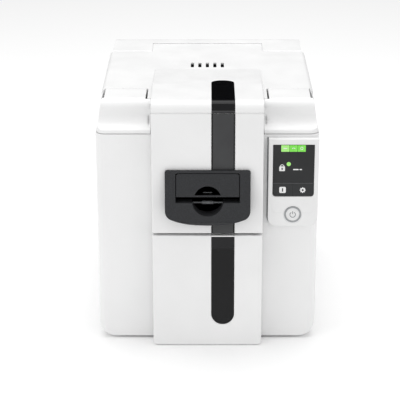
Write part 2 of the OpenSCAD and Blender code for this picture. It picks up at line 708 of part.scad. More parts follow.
module window_outline() {
    translate([strip_x - strip_w / 2, window_z + strip_w / 2])
        square([strip_w, cover_top - window_z - strip_w / 2]);
    translate([strip_x, window_z + strip_w / 2]) circle(strip_w / 2);
}
module output_cover() color("white") in_place() difference() {
    intersection() {
        block([-half_band, band_face, foot_h - 1.5], [half_band, return_d, cover_top]);
        along(band_face - 1, 1) tub(band_w, foot_h - 1.5, cover_top + 1, 5);
    }
    block([-half_band + wall, band_face + wall, foot_h - 1.5 + wall], [half_band - wall, 1, cover_top - wall]);
    along(band_face - 1, band_face + wall + 0.4) window_outline();
}
module output_window() color("#3a3a3c") in_place() along(band_face, band_face + wall) window_outline();
module output_tray() color("#d9d9d6") in_place() difference() {
    block([-tray_w / 2, band_face + wall, tray_z], [tray_w / 2, band_face + wall + tray_l, tray_z + tray_h]);
    block([-tray_w / 2 + 2, band_face + wall + 2, tray_z + 2],
        [tray_w / 2 - 2, band_face + wall + tray_l - 2, tray_z + tray_h + 1]);
}
chute_d0 = feed_d + 6;
chute_z0 = path_z - 24;
module output_chute() color("#d9d9d6") in_place() across(2 * frame_x - 0.4) polygon([
    [chute_d0 + 18, chute_z0], [chute_d0 + 18, chute_z0 + 2], [tray_l - 36, door_z - 6], [tray_l - 36, door_z - 8]]);

// ---- control panel --------------------------------------------------------

panel_wall = 2.2;
panel_corner_r = 9;
screen_z0 = screen_top - screen_h;
panel_x0 = half_band + panel_gap;
panel_x1 = case_w / 2 - panel_side;
panel_w = panel_x1 - panel_x0;
panel_x = (panel_x0 + panel_x1) / 2;
screen_w = panel_w - 2 * screen_margin;
screen_r = 3;
module panel_outline(inset) {
    translate([panel_x0 + inset, panel_low + panel_corner_r])
        square([panel_w - 2 * inset, panel_top - panel_low - panel_corner_r - inset]);
    translate([panel_x0 + panel_corner_r, panel_low + inset])
        square([panel_w - 2 * panel_corner_r, panel_corner_r]);
    for (x = [panel_x0 + panel_corner_r, panel_x1 - panel_corner_r])
        translate([x, panel_low + panel_corner_r]) circle(panel_corner_r - inset);
}
module control_panel() color("white") in_place() difference() {
    along(-panel_out, 0) panel_outline(0);
    along(-panel_out + panel_wall, 1) panel_outline(panel_wall);
    along(-panel_out - 1, 0) translate([panel_x, 0])
        tub(screen_w + 0.3, screen_z0 - 0.15, screen_top + 0.15, screen_r + 0.15);
    rod_y(panel_x, button_z, button_r + 0.1, -panel_out - 1, 0);
    rod_y(panel_x, button_z, button_r + 1.6, -panel_out - 1, -panel_out + 1);
}
module display() color("#202224") in_place() along(-panel_out, -1.9) translate([panel_x, 0])
    tub(screen_w, screen_z0, screen_top, screen_r);
module display_board() color("#2f6b3c") in_place() {
    along(-1.8, -0.2) translate([panel_x0 + panel_wall + 0.4, panel_low + panel_corner_r])
        square([panel_w - 2 * panel_wall - 0.8, panel_top - panel_low - panel_corner_r - panel_wall - 0.4]);
    rod_y(panel_x, button_z, 2, -2.1, -1.8);
}
module power_ring() color("#9fa2a4") in_place() difference() {
    rod_y(panel_x, button_z, button_r + 1.6, -panel_out - 0.6, -panel_out + 1);
    rod_y(panel_x, button_z, button_r + 0.1, -panel_out - 1, 0);
}
module power_button() color("#e8e8e8") in_place() {
    rod_y(panel_x, button_z, button_r, -panel_out - 0.3, -panel_out + panel_wall + 0.2);
    rod_y(panel_x, button_z, button_r + 0.8, -panel_out + panel_wall + 0.2, -panel_out + panel_wall + 0.9);
    rod_y(panel_x, button_z, 2, -panel_out + panel_wall + 0.9, -2.2 - button_travel);
}

// ---- feeder ---------------------------------------------------------------

hopper_top = tongue_z - 9;
hopper_x = hopper_in / 2;
module card_hopper() color("#d9d9d6") in_place() {
    difference() {
        block([-hopper_x - 2, hopper_front, hopper_z - 3], [hopper_x + 2, hopper_rear + 2, hopper_top]);
        block([-hopper_x, hopper_front - 1, hopper_z], [hopper_x, hopper_rear, hopper_top + 1]);
        // gap between the two ledges, and the gate for one card
        block([-18, hopper_front - 1, hopper_z - 4], [18, hopper_rear + 3, hopper_z + 1]);
        block([-hopper_x, hopper_rear - 1, hopper_z], [hopper_x, hopper_rear + 3, hopper_z + 1.4]);
    }
    for (side = [-1, 1], z = [hopper_z + 14, hopper_z + 50])
        block([side * (hopper_x + frame_x + 2) / 2 - (frame_x - hopper_x - 2) / 2, 30, z],
            [side * (hopper_x + frame_x + 2) / 2 + (frame_x - hopper_x - 2) / 2, 60, z + 6]);
}
weight_z = hopper_z + 0.3;
weight_t = 6;
grip_d = hopper_front + 42;
grip_z = weight_z + weight_t + 4.5;
module card_weight() color("#4a4c4e") in_place() {
    block([-hopper_x + 0.5, hopper_front + 3, weight_z],
        [hopper_x - 0.5, hopper_rear - 1, weight_z + weight_t]);
    // bar to lift it by, on two posts
    rod_x(grip_d, grip_z, 3.2, -12, 12);
    for (x = [-7, 7]) block([x - 2, grip_d - 2, weight_z + weight_t - 1], [x + 2, grip_d + 2, grip_z]);
}

// ---- rollers and drive ----------------------------------------------------

shaft_end = frame_x + frame_t + 2;
module drive_roller(d, r, half) {
    rod_x(d, shaft_z, r, -half, half);
    rod_x(d, shaft_z, shaft_r, belt_x - belt_w / 2 - 0.5, shaft_end);
    rod_x(d, shaft_z, pulley_r, belt_x - belt_w / 2, belt_x + belt_w / 2);
}
module pick_roller() color("#303030") in_place() drive_roller(pick_d, rubber_r, 12);
module feed_roller() color("#303030") in_place() drive_roller(feed_d, rubber_r, card_w / 2 + 2);
module platen_roller() color("#202020") in_place() drive_roller(platen_d, platen_r, card_w / 2 + 3);
module transport_roller() color("#303030") in_place() drive_roller(transport_d, rubber_r, card_w / 2 + 2);
module cleaning_roller() color("#5b86b8") in_place() {
    rod_x(feed_d, cleaner_z, cleaner_r, -card_w / 2 - 1, card_w / 2 + 1);
    rod_x(feed_d, cleaner_z, shaft_r, -shaft_end, shaft_end);
}
module belt_outline(r) hull() {
    for (d = [pick_d, transport_d]) translate([d, shaft_z]) circle(r);
    translate([motor_d, motor_z]) circle(r);
}
module toothed_belt() color("#1c1c1c") in_place() across(belt_w, belt_x) difference() {
    belt_outline(pulley_r + 0.2 + belt_t);
    belt_outline(pulley_r + 0.2);
}
motor_shaft_r = 2.5;
module drive_motor() color("#3a3d40") in_place() difference() {
    union() {
        block([-frame_x, motor_d - motor_s / 2, motor_z - motor_s / 2],
            [-frame_x + 36, motor_d + motor_s / 2, motor_z + motor_s / 2]);
        rod_x(motor_d, motor_z, shaft_r + 0.5, -frame_x - frame_t, -frame_x);
    }
    rod_x(motor_d, motor_z, motor_shaft_r + run_gap, -frame_x - frame_t - 1, -frame_x + 20);
}
module motor_pulley() color("#c9cbcd") in_place() {
    rod_x(motor_d, motor_z, pulley_r, belt_x - belt_w / 2, belt_x + belt_w / 2);
    rod_x(motor_d, motor_z, motor_shaft_r, belt_x - belt_w / 2, -frame_x + 18);
}

// ---- ribbon cassette ------------------------------------------------------

module cassette_cheek() difference() {
    union() {
        block([cheek_x - cheek_t, takeup_d - 8, cassette_z], [cheek_x, supply_d + 8, cassette_z + 14]);
        rod_x(takeup_d, takeup_z, 10, cheek_x - cheek_t, cheek_x);
        rod_x(supply_d, supply_z, 10, cheek_x - cheek_t, cheek_x);
    }
    rod_x(takeup_d, takeup_z, journal_r + run_gap, cheek_x - cheek_t - 1, cheek_x + 1);
    rod_x(supply_d, supply_z, journal_r + run_gap, cheek_x - cheek_t - 1, cheek_x + 1);
}
module ribbon_cassette() color("#e2e2de") in_place() {
    cassette_cheek();
    mirror([1, 0, 0]) cassette_cheek();
    for (d = [takeup_d + 18, supply_d - 20])
        rod_x(d, cassette_z + 5, 2.5, -cheek_x + cheek_t - 0.5, cheek_x - cheek_t + 0.5);
}
module spool(d, z, r) {
    rod_x(d, z, r, -spool_l / 2 + cheek_t + 1, spool_l / 2 - cheek_t - 1);
    rod_x(d, z, journal_r, -cheek_x - 1, cheek_x + 1);
}
module supply_spool() color("#b5527a") in_place() spool(supply_d, supply_z, supply_r);
module takeup_spool() color("#7a4560") in_place() spool(takeup_d, takeup_z, takeup_r);

// ---- electrics ------------------------------------------------------------

board_x = frame_x + frame_t + 8;
board_t = 1.6;
board_face = board_x + board_t;
board_d = [70, 190];
board_z = [32, 128];
chip_s = 25;
plug_l = 32;
module main_board() color("#2f6b3c") in_place() {
    block([board_x, board_d[0], board_z[0]], [board_face, board_d[1], board_z[1]]);
    // processor, two capacitors and two plug housings
    block([board_face, board_d[0] + 40, board_z[0] + 38],
        [board_face + 2.4, board_d[0] + 40 + chip_s, board_z[0] + 38 + chip_s]);
    for (d = [15, 30]) rod_x(board_d[0] + d, board_z[1] - 16, 5, board_face, board_face + 12);
    for (z = [8, 24]) block([board_face, board_d[1] - 8 - plug_l, board_z[0] + z],
        [board_face + 7.4, board_d[1] - 8, board_z[0] + z + 8]);
    // standoffs down to the side frame
    for (d = [board_d[0] + 6, board_d[1] - 6], z = [board_z[0] + 4, board_z[1] - 6])
        rod_x(d, z, 3, frame_x + frame_t, board_x);
}
supply_x = -case_w / 2 + low_corner_r + 3;
supply_w = 42;
supply_h = 44;
supply_d0 = 60;
supply_d1 = 190;
module power_supply() color("#b0b3b5") in_place() difference() {
    block([supply_x, supply_d0, floor_z], [supply_x + supply_w, supply_d1, floor_z + supply_h]);
    // vents in its outer side
    for (d = [supply_d0 + 15:10:supply_d1 - 15])
        block([supply_x - 1, d, floor_z + 12], [supply_x + 2, d + 4, floor_z + supply_h - 10]);
}

panel_t = 1.5;
inlet_w = 27;
inlet_h = 20;
socket_size = 15;
socket_xs = [16, -8];
module rear_panel() color("#9a9da0") in_place() difference() {
    block([-socket_w / 2 - 4, rear_in - panel_t, socket_low - 4], [socket_w / 2 + 4, rear_in, socket_high + 4]);
    block([inlet_x - inlet_w / 2, rear_in - 3, inlet_z - inlet_h / 2],
        [inlet_x + inlet_w / 2, rear_in + 1, inlet_z + inlet_h / 2]);
    for (x = socket_xs) block([x - socket_size / 2, rear_in - 3, inlet_z - socket_size / 2],
        [x + socket_size / 2, rear_in + 1, inlet_z + socket_size / 2]);
    for (i = [-3:3]) block([fan_x + i * 5 - 1.5, rear_in - 3, fan_z - 15], [fan_x + i * 5 + 1.5, rear_in + 1, fan_z + 15]);
}
module power_inlet() color("#1c1c1c") in_place() {
    difference() {
        block([inlet_x - inlet_w / 2 + 0.2, rear_in - 24, inlet_z - inlet_h / 2 + 0.2],
            [inlet_x + inlet_w / 2 - 0.2, rear_in + 1.5, inlet_z + inlet_h / 2 - 0.2]);
        block([inlet_x - 11.5, rear_in - 18, inlet_z - 7.5], [inlet_x + 11.5, rear_in + 2, inlet_z + 7.5]);
    }
    for (pin = [[-7, -1.5], [0, 2], [7, -1.5]])
        block([inlet_x + pin[0] - 1, rear_in - 19, inlet_z + pin[1] - 2],
            [inlet_x + pin[0] + 1, rear_in - 6, inlet_z + pin[1] + 2]);
}
module data_sockets() color("silver") in_place() for (x = socket_xs) difference() {
    block([x - socket_size / 2 + 0.2, rear_in - 18, inlet_z - socket_size / 2 + 0.2],
        [x + socket_size / 2 - 0.2, rear_in + 0.8, inlet_z + socket_size / 2 - 0.2]);
    block([x - 5.5, rear_in - 12, inlet_z - 5], [x + 5.5, rear_in + 2, inlet_z + 5]);
}

fan_front = rear_in - panel_t - 11;
module fan_frame() color("#1c1c1c") in_place() {
    difference() {
        block([fan_x - fan_s / 2, fan_front, fan_z - fan_s / 2], [fan_x + fan_s / 2, fan_front + 11, fan_z + fan_s / 2]);
        rod_y(fan_x, fan_z, fan_s / 2 - 1.5, fan_front - 1, fan_front + 12);
    }
    // strut and axle
    block([fan_x - fan_s / 2 + 1, fan_front, fan_z - 2], [fan_x + fan_s / 2 - 1, fan_front + 1.5, fan_z + 2]);
    rod_y(fan_x, fan_z, 5, fan_front, fan_front + 1.5);
    rod_y(fan_x, fan_z, 1.5, fan_front, fan_front + 10);
}
module fan_rotor() color("#2b2b2b") in_place() difference() {
    union() {
        rod_y(fan_x, fan_z, 8, fan_front + 2, fan_front + 10);
        for (i = [0:6]) translate([fan_x, fan_front + 6.2, fan_z]) rotate([0, i * 360 / 7, 0])
            translate([12.2, 0, 0]) rotate([35, 0, 0]) cube([10.6, 1.2, 7], center = true);
    }
    rod_y(fan_x, fan_z, 1.5 + run_gap, fan_front + 1, fan_front + 11);
}

// ---- nodes ----------------------------------------------------------------

lower_casing();
rubber_feet();
base_plate();
side_frame_left();
side_frame_right();
frame_screws();
shoulder_left();
shoulder_right();
release_key_left();
release_key_right();
latch_hook_left();
latch_hook_right();
latch_pins();
lid();
side_fillers();
lid_strip();
print_head();
head_bracket();
rear_housing();
lid_hinge_pins();
front_door();
door_strip();
door_hinge_pins();
card_mouth();
mouth_flap();
mouth_roller();
output_cover();
output_window();
output_tray();
output_chute();
control_panel();
display();
display_board();
power_button();
power_ring();
card_hopper();
card_weight();
pick_roller();
feed_roller();
cleaning_roller();
platen_roller();
transport_roller();
toothed_belt();
drive_motor();
motor_pulley();
ribbon_cassette();
supply_spool();
takeup_spool();
main_board();
power_supply();
rear_panel();
power_inlet();
data_sockets();
fan_frame();
fan_rotor();
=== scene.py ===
import json
import math

import bmesh
import bpy
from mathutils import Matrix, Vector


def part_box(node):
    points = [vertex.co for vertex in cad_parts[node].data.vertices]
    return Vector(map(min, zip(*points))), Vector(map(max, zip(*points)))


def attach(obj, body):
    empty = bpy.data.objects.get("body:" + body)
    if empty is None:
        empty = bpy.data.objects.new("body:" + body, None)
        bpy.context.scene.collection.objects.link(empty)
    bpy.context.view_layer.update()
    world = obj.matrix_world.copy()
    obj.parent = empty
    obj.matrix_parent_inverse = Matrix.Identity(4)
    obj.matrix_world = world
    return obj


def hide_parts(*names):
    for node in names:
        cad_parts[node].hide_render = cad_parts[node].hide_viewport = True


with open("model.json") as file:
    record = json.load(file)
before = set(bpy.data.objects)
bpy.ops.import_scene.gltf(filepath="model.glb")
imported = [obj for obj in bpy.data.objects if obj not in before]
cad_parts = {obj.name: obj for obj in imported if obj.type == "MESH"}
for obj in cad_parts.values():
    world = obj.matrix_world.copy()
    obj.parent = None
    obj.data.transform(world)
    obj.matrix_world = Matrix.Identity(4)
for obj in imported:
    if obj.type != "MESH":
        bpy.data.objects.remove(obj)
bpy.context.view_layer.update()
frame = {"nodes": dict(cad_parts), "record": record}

# ---- Studio ---------------------------------------------------------------
# The printer stands on a seamless white floor, lit by an overhead softbox, two
# side panels and a white room. A long lens looks down on it at 20 degrees.

scene = bpy.context.scene
scene.view_settings.view_transform = "Standard"
scene.view_settings.look = "None"
scene.view_settings.gamma = 0.85

CAMERA_AT = (0.0, -1.628, 0.7162)
CAMERA_PITCH = math.radians(20.3)
lens = bpy.data.cameras.new("long_lens")
lens.lens = 135
lens.sensor_width = 36
lens.shift_x = -0.0184
lens.clip_end = 20
camera = bpy.data.objects.new("camera", lens)
camera.location = CAMERA_AT
camera.rotation_euler = (math.pi / 2 - CAMERA_PITCH, 0, 0)
scene.collection.objects.link(camera)
scene.camera = camera


def linear(hex_colour):
    """sRGB hex such as "f4f4f2" as linear RGBA."""
    parts = [int(hex_colour[i:i + 2], 16) / 255 for i in (0, 2, 4)]
    return [c / 12.92 if c <= 0.04045 else ((c + 0.055) / 1.055) ** 2.4 for c in parts] + [1.0]


def add_node(tree, kind, links=(), **settings):
    """Adds one node. Settings name attributes or input sockets; a link is (input, source node, output)."""
    made = tree.nodes.new(kind)
    for name, value in settings.items():
        if hasattr(made, name):
            setattr(made, name, value)
        else:
            made.inputs[name.replace("_", " ")].default_value = value
    for target, source, output in links:
        tree.links.new(source.outputs[output], made.inputs[target])
    return made


def new_material(name, colour, roughness, **sockets):
    """Material with one Principled shader, its plain values set on the shader's own sockets."""
    material = bpy.data.materials.new(name)
    material.use_nodes = True
    shader = material.node_tree.nodes["Principled BSDF"]
    shader.inputs["Base Color"].default_value = linear(colour)
    shader.inputs["Roughness"].default_value = roughness
    for socket, value in sockets.items():
        shader.inputs[socket.replace("_", " ")].default_value = value
    return material


def softbox(name, at, turn, size, watts):
    """White rectangular light of a width and height in metres."""
    light = bpy.data.lights.new(name, "AREA")
    light.shape = "RECTANGLE"
    light.size, light.size_y = size
    light.energy = watts
    box = bpy.data.objects.new(name, light)
    box.location = at
    box.rotation_euler = [math.radians(a) for a in turn]
    scene.collection.objects.link(box)


softbox("overhead_softbox", (0.0, 0.1, 1.6), (0, 0, 0), (1.4, 1.2), 10.5)
softbox("left_panel", (-1.3, -1.0, 0.9), (66, 0, -54), (0.7, 1.0), 2.2)
softbox("right_panel", (1.3, -1.0, 0.9), (66, 0, 54), (0.7, 1.0), 0.8)

room = bpy.data.worlds.new("white_room")
room.use_nodes = True
room.node_tree.nodes["Background"].inputs["Color"].default_value = linear("ffffff")
room.node_tree.nodes["Background"].inputs["Strength"].default_value = 0.8
scene.world = room


def stage_sheet(name, corners, material):
    """Flat sheet of the studio, which isn't part of the printer."""
    mesh = bpy.data.meshes.new(name)
    mesh.from_pydata(corners, [], [(0, 1, 2, 3)])
    mesh.materials.append(material)
    sheet = bpy.data.objects.new(name, mesh)
    scene.collection.objects.link(sheet)
    return sheet


# Black velvet on a card behind the printer, seen only in reflections: it keeps the glossy strip dark.
velvet = new_material("black_velvet_card", "000000", 0.5, Specular_IOR_Level=0.0)
FLAG_Y = 1.6
flag_corners = [(x, FLAG_Y, z) for x, z in ((-2, 0.05), (2, 0.05), (2, 1.6), (-2, 1.6))]
black_flag = stage_sheet("black_flag", flag_corners, velvet)
black_flag.visible_camera = False
black_flag.visible_diffuse = False
black_flag.visible_shadow = False

# White paper sweep: dull, and a little brighter than its light alone would make it.
paper = new_material("white_paper_floor", "fbfbfb", 0.9, Specular_IOR_Level=0.0,
                     Emission_Color=linear("ffffff"), Emission_Strength=0.02)
stage_sheet("studio_floor", [(-9, -9, 0), (9, -9, 0), (9, 9, 0), (-9, 9, 0)], paper)

# ---- Lower casing ---------------------------------------------------------
# Wide tub of white ABS, injection moulded with a fine satin grain. Its upright
# and lower corners are round, and a seam runs round it under the top covers.

MM = 0.001  # metres


def object_noise(tree, size_mm, stretch):
    """Noise on Object coordinates with lumps about size_mm across, drawn out along an axis by stretch."""
    place = add_node(tree, "ShaderNodeTexCoord")
    per_metre = 1000 / size_mm
    scale = [per_metre / s for s in stretch]
    spread = add_node(tree, "ShaderNodeMapping", [("Vector", place, "Object")], Scale=scale)
    return add_node(tree, "ShaderNodeTexNoise", [("Vector", spread, "Vector")], Scale=1.0, Detail=2.0)


def feed(tree, socket, source, output):
    """Joins a node's output to a socket of the tree's Principled shader."""
    tree.links.new(source.outputs[output], tree.nodes["Principled BSDF"].inputs[socket])


def grain(material, size_mm, depth_mm, stretch=(1, 1, 1)):
    """Bump of moulding grain, depth_mm deep."""
    tree = material.node_tree
    lumps = object_noise(tree, size_mm, stretch)
    bump = add_node(tree, "ShaderNodeBump", [("Height", lumps, "Fac")],
                    Strength=1.0, Distance=depth_mm * MM)
    feed(tree, "Normal", bump, "Normal")


def tint(material, size_mm, colours, stretch=(1, 1, 1)):
    """Base colour that wanders between two hex colours in patches of size_mm."""
    tree = material.node_tree
    patches = object_noise(tree, size_mm, stretch)
    ramp = add_node(tree, "ShaderNodeValToRGB", [("Fac", patches, "Fac")])
    for stop, colour, place in zip(ramp.color_ramp.elements, colours, (0.35, 0.65)):
        stop.position = place
        stop.color = linear(colour)
    feed(tree, "Base Color", ramp, "Color")


def wear(material, size_mm, low, high, stretch=(1, 1, 1)):
    """Roughness that wanders between two values in patches of size_mm."""
    tree = material.node_tree
    patches = object_noise(tree, size_mm, stretch)
    spread = add_node(tree, "ShaderNodeMapRange", [("Value", patches, "Fac")],
                      From_Min=0.3, From_Max=0.7, To_Min=low, To_Max=high)
    feed(tree, "Roughness", spread, "Result")


# ABS, moulded with a satin grain: an even cool white with a soft, wide highlight.
# The real grain is 0.2 mm; it is drawn at 0.8 mm so that it shows at all.
white_abs = new_material("satin_white_ABS", "efefef", 0.42, IOR=1.53)
tint(white_abs, 70, ("eeeeee", "f1f1f1"))
wear(white_abs, 25, 0.38, 0.46)
grain(white_abs, 0.8, 0.004)

WIDE_FACE = 4e-4  # square metres; a crease between wider faces stays crisp
SAME_POINT = 2e-6  # metres; closer corners are one
FLAT_TURN, EDGE_TURN = math.radians(0.6), math.radians(30)  # less is one face, more is a rounded edge
bodies = frame["record"]["behaviour"]["bodies"]
carrier_of = {node: body for body, nodes in bodies.items() for node in nodes}


def moulded(name, node, material, edge_mm, steps=2):
    """A CAD node's own shape, its doubles merged, its flat faces joined and its edges rounded by edge_mm."""
    shape = bmesh.new()
    shape.from_mesh(frame["nodes"][node].data)
    bmesh.ops.remove_doubles(shape, verts=shape.verts, dist=SAME_POINT)
    bmesh.ops.dissolve_limit(shape, angle_limit=FLAT_TURN, verts=shape.verts, edges=shape.edges)
    for crease in shape.edges:
        if len(crease.link_faces) == 2 and min(f.calc_area() for f in crease.link_faces) > WIDE_FACE:
            crease.smooth = False
    for face in shape.faces:
        face.smooth = True
    mesh = bpy.data.meshes.new(name)
    shape.to_mesh(mesh)
    shape.free()
    piece = bpy.data.objects.new(name, mesh)
    scene.collection.objects.link(piece)
    mesh.materials.append(material)
    edge = piece.modifiers.new("soft_edges", "BEVEL")
    edge.width = edge_mm * MM
    edge.segments = steps
    edge.limit_method = "ANGLE"
    edge.angle_limit = EDGE_TURN
    edge.use_clamp_overlap = False
    shading = piece.modifiers.new("flat_faces_stay_flat", "WEIGHTED_NORMAL")
    shading.keep_sharp = True
    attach(piece, carrier_of[node])
    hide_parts(node)


moulded("lower_casing_shell", "lower_casing", white_abs, 0.8)

# ---- Feet, base plate and side frames -------------------------------------
# Rubber discs pressed under the tub. Inside, a zinc-plated steel base plate
# carries two folded side frames, held down by pan-head screws with hex sockets.

# Soft moulded rubber: near black, dull, with a faint bloom of dust.
foot_rubber = new_material("moulded_foot_rubber", "1d1d1e", 0.85)
tint(foot_rubber, 4, ("19191a", "242426"))
grain(foot_rubber, 0.6, 0.03)
moulded("foot_discs", "rubber_feet", foot_rubber, 0.5)

# Zinc-plated sheet steel: grey, half dull, with a loose spangle about 5 mm across.
zinc_steel = new_material("zinc_plated_steel", "9da1a4", 0.42, Metallic=1.0)
tint(zinc_steel, 5, ("8f9396", "aaaeb1"))
wear(zinc_steel, 6, 0.34, 0.5)
grain(zinc_steel, 0.5, 0.004)

for name, node in (("base_sheet", "base_plate"), ("left_frame_sheet", "side_frame_left"),
                   ("right_frame_sheet", "side_frame_right"), ("rear_sheet", "rear_panel")):
    moulded(name, node, zinc_steel, 0.25, steps=1)

# Bright drawn steel, ground round: fine rings about 0.4 mm apart run round the bar.
bright_steel = new_material("ground_bright_steel", "c6c8ca", 0.22, Metallic=1.0)
wear(bright_steel, 0.4, 0.16, 0.3, stretch=(1, 40, 40))
grain(bright_steel, 0.4, 0.002, stretch=(1, 40, 40))


def closed_rings(name, rings, material):
    """Closed skin over rings of equally many points. A first or last ring of one point is a pole."""
    shape = bmesh.new()
    rows = [[shape.verts.new(p) for p in ring] for ring in rings]
    for a, b in zip(rows, rows[1:]):
        for i in range(max(len(a), len(b))):
            quad = [a[i % len(a)], a[(i + 1) % len(a)], b[(i + 1) % len(b)], b[i % len(b)]]
            shape.faces.new(list(dict.fromkeys(quad)))
    for ring in (rows[0], rows[-1]):
        if len(ring) > 2:
            shape.faces.new(ring)
    bmesh.ops.recalc_face_normals(shape, faces=shape.faces)
    mesh = bpy.data.meshes.new(name)
    shape.to_mesh(mesh)
    shape.free()
    mesh.materials.append(material)
    mesh.shade_smooth()
    mesh.set_sharp_from_angle(angle=math.radians(35))
    piece = bpy.data.objects.new(name, mesh)
    scene.collection.objects.link(piece)
    return piece


def turned(name, profile, centre, material, steps=40):
    """Solid turned about X. The profile lists (place along X, radius) in mm; a radius of 0 is a pole."""
    rings = []
    for along, radius in profile:
        count = steps if radius > 0 else 1
        turns = [math.tau * i / count for i in range(count)]
        rings.append([(centre[0] + along * MM, centre[1] + radius * math.cos(t) * MM,
                       centre[2] + radius * math.sin(t) * MM) for t in turns])
    return closed_rings(name, rings, material)


def geometry_tree(name, inputs):
    """Empty Geometry Nodes tree with a geometry output and named number inputs (name, kind, value)."""
    tree = bpy.data.node_groups.new(name, "GeometryNodeTree")
    tree.interface.new_socket("Geometry", in_out="INPUT", socket_type="NodeSocketGeometry")
    for label, kind, value in inputs:
        socket = tree.interface.new_socket(label, in_out="INPUT", socket_type="NodeSocket" + kind)
        socket.default_value = value
    tree.interface.new_socket("Geometry", in_out="OUTPUT", socket_type="NodeSocketGeometry")
    return tree, tree.nodes.new("NodeGroupInput"), tree.nodes.new("NodeGroupOutput")


def finish_tree(tree, exit_node, instancer, material):
    """Ends a tree in Realize Instances and Set Material."""
    real = add_node(tree, "GeometryNodeRealizeInstances", [("Geometry", instancer, "Instances")])
    painted = add_node(tree, "GeometryNodeSetMaterial", [("Geometry", real, "Geometry")])
    painted.inputs["Material"].default_value = material
    tree.links.new(painted.outputs["Geometry"], exit_node.inputs["Geometry"])


def grown(name, tree, base_points, values=(), edges=()):
    """Runs a tree on a mesh of points (metres) and keeps the result as a plain mesh."""
    seed = bpy.data.meshes.new(name + "_seed")
    seed.from_pydata([tuple(p) for p in base_points], list(edges), [])
    holder = bpy.data.objects.new(name + "_seed", seed)
    scene.collection.objects.link(holder)
    maker = holder.modifiers.new("grow", "NODES")
    maker.node_group = tree
    sockets = {item.name: item.identifier for item in tree.interface.items_tree if item.in_out == "INPUT"}
    for label, value in values:
        maker[sockets[label]] = value
    depsgraph = bpy.context.evaluated_depsgraph_get()
    mesh = bpy.data.meshes.new_from_object(holder.evaluated_get(depsgraph), depsgraph=depsgraph)
    mesh.name = name
    bpy.data.objects.remove(holder)
    piece = bpy.data.objects.new(name, mesh)
    scene.collection.objects.link(piece)
    return piece


# pan-head screws: a head with a hex socket and a short shank, on every point
screw_tree, screw_in, screw_out = geometry_tree("pan_head_screws", (
    ("Head Radius", "Float", 0.003), ("Head Height", "Float", 0.002), ("Socket Radius", "Float", 0.0014),
    ("Shank Radius", "Float", 0.0014), ("Shank Length", "Float", 0.004), ("Turn", "Vector", (0.0, 0.0, 0.0))))
SOCKET_RISE, SHANK_DROP = 0.4, -0.5  # shares of the head's height and the shank's length
screw_rods = {}
for part, radius, length, sides, shift in (("head", "Head Radius", "Head Height", 24, 0.0),
                                           ("socket", "Socket Radius", "Head Height", 6, SOCKET_RISE),
                                           ("shank", "Shank Radius", "Shank Length", 16, SHANK_DROP)):
    rod = add_node(screw_tree, "GeometryNodeMeshCylinder", [
        ("Radius", screw_in, radius), ("Depth", screw_in, length)], Vertices=sides)
    rise = add_node(screw_tree, "ShaderNodeMath", [(0, screw_in, length)], operation="MULTIPLY")
    rise.inputs[1].default_value = shift
    place = add_node(screw_tree, "ShaderNodeCombineXYZ", [("Z", rise, 0)])
    screw_rods[part] = add_node(screw_tree, "GeometryNodeTransform", [
        ("Geometry", rod, "Mesh"), ("Translation", place, "Vector")])
head_cut = add_node(screw_tree, "GeometryNodeMeshBoolean", [
    ("Mesh 1", screw_rods["head"], "Geometry"),
    ("Mesh 2", screw_rods["socket"], "Geometry")], operation="DIFFERENCE")
whole_screw = add_node(screw_tree, "GeometryNodeJoinGeometry", [
    ("Geometry", head_cut, "Mesh"), ("Geometry", screw_rods["shank"], "Geometry")])
screws_set = add_node(screw_tree, "GeometryNodeInstanceOnPoints", [
    ("Points", screw_in, "Geometry"), ("Instance", whole_screw, "Geometry"),
    ("Rotation", screw_in, "Turn")])
finish_tree(screw_tree, screw_out, screws_set, bright_steel)

HEAD_R, HEAD_H = 0.003, 0.002
SCREW_YS = (-0.0985, -0.0185, 0.0615)
screws_low, screws_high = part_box("frame_screws")
screw_x, screw_z = screws_high.x - HEAD_R, screws_high.z - HEAD_H / 2
frame_heads = grown("frame_screw_heads", screw_tree,
                    [(side * screw_x, y, screw_z) for side in (-1, 1) for y in SCREW_YS],
                    (("Head Radius", HEAD_R), ("Head Height", HEAD_H),
                     ("Shank Length", screws_high.z - screws_low.z - HEAD_H / 2)))
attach(frame_heads, "root")
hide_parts("frame_screws")

# four screws hold the rear sheet, each sunk a little into it
sheet_low, sheet_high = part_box("rear_panel")
SHEET_EDGE, SHEET_SINK = 0.007, 0.0004
sheet_heads = grown("rear_sheet_screws", screw_tree,
                    [(x, sheet_high.y - SHEET_SINK, z)
                     for x in (sheet_low.x + SHEET_EDGE, sheet_high.x - SHEET_EDGE)
                     for z in (sheet_low.z + SHEET_EDGE, sheet_high.z - SHEET_EDGE)],
                    (("Turn", (-math.pi / 2, 0.0, 0.0)), ("Head Height", 0.0016), ("Shank Length", 0.002)))
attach(sheet_heads, "root")

# ---- Circuit boards -------------------------------------------------------
# The main board stands on the right side frame, and a second board sits behind
# the display. Both are green glass epoxy with tinned pads; chips are soldered on.

# Solder mask over glass epoxy: satin green, with the copper tracks showing as
# lighter lines on a 2.5 mm grid.
board_green = new_material("green_solder_mask", "1f5c34", 0.38, Coat_Weight=0.3)
board_tree = board_green.node_tree
board_place = add_node(board_tree, "ShaderNodeTexCoord")
TRACK_PITCH_MM = 2.5
track_grid = add_node(board_tree, "ShaderNodeMapping", [("Vector", board_place, "Object")],
                      Scale=[1000 / TRACK_PITCH_MM] * 3)
tracks = add_node(board_tree, "ShaderNodeTexBrick", [("Vector", track_grid, "Vector")],
                  Color1=linear("1d5831"), Color2=linear("235f38"), Mortar=linear("4c8f5c"),
                  Mortar_Size=0.05, Scale=1.0)
feed(board_tree, "Base Color", tracks, "Color")
grain(board_green, 1.5, 0.02)

for name, node in (("main_board_sheet", "main_board"), ("display_board_sheet", "display_board")):
    moulded(name, node, board_green, 0.1, steps=1)

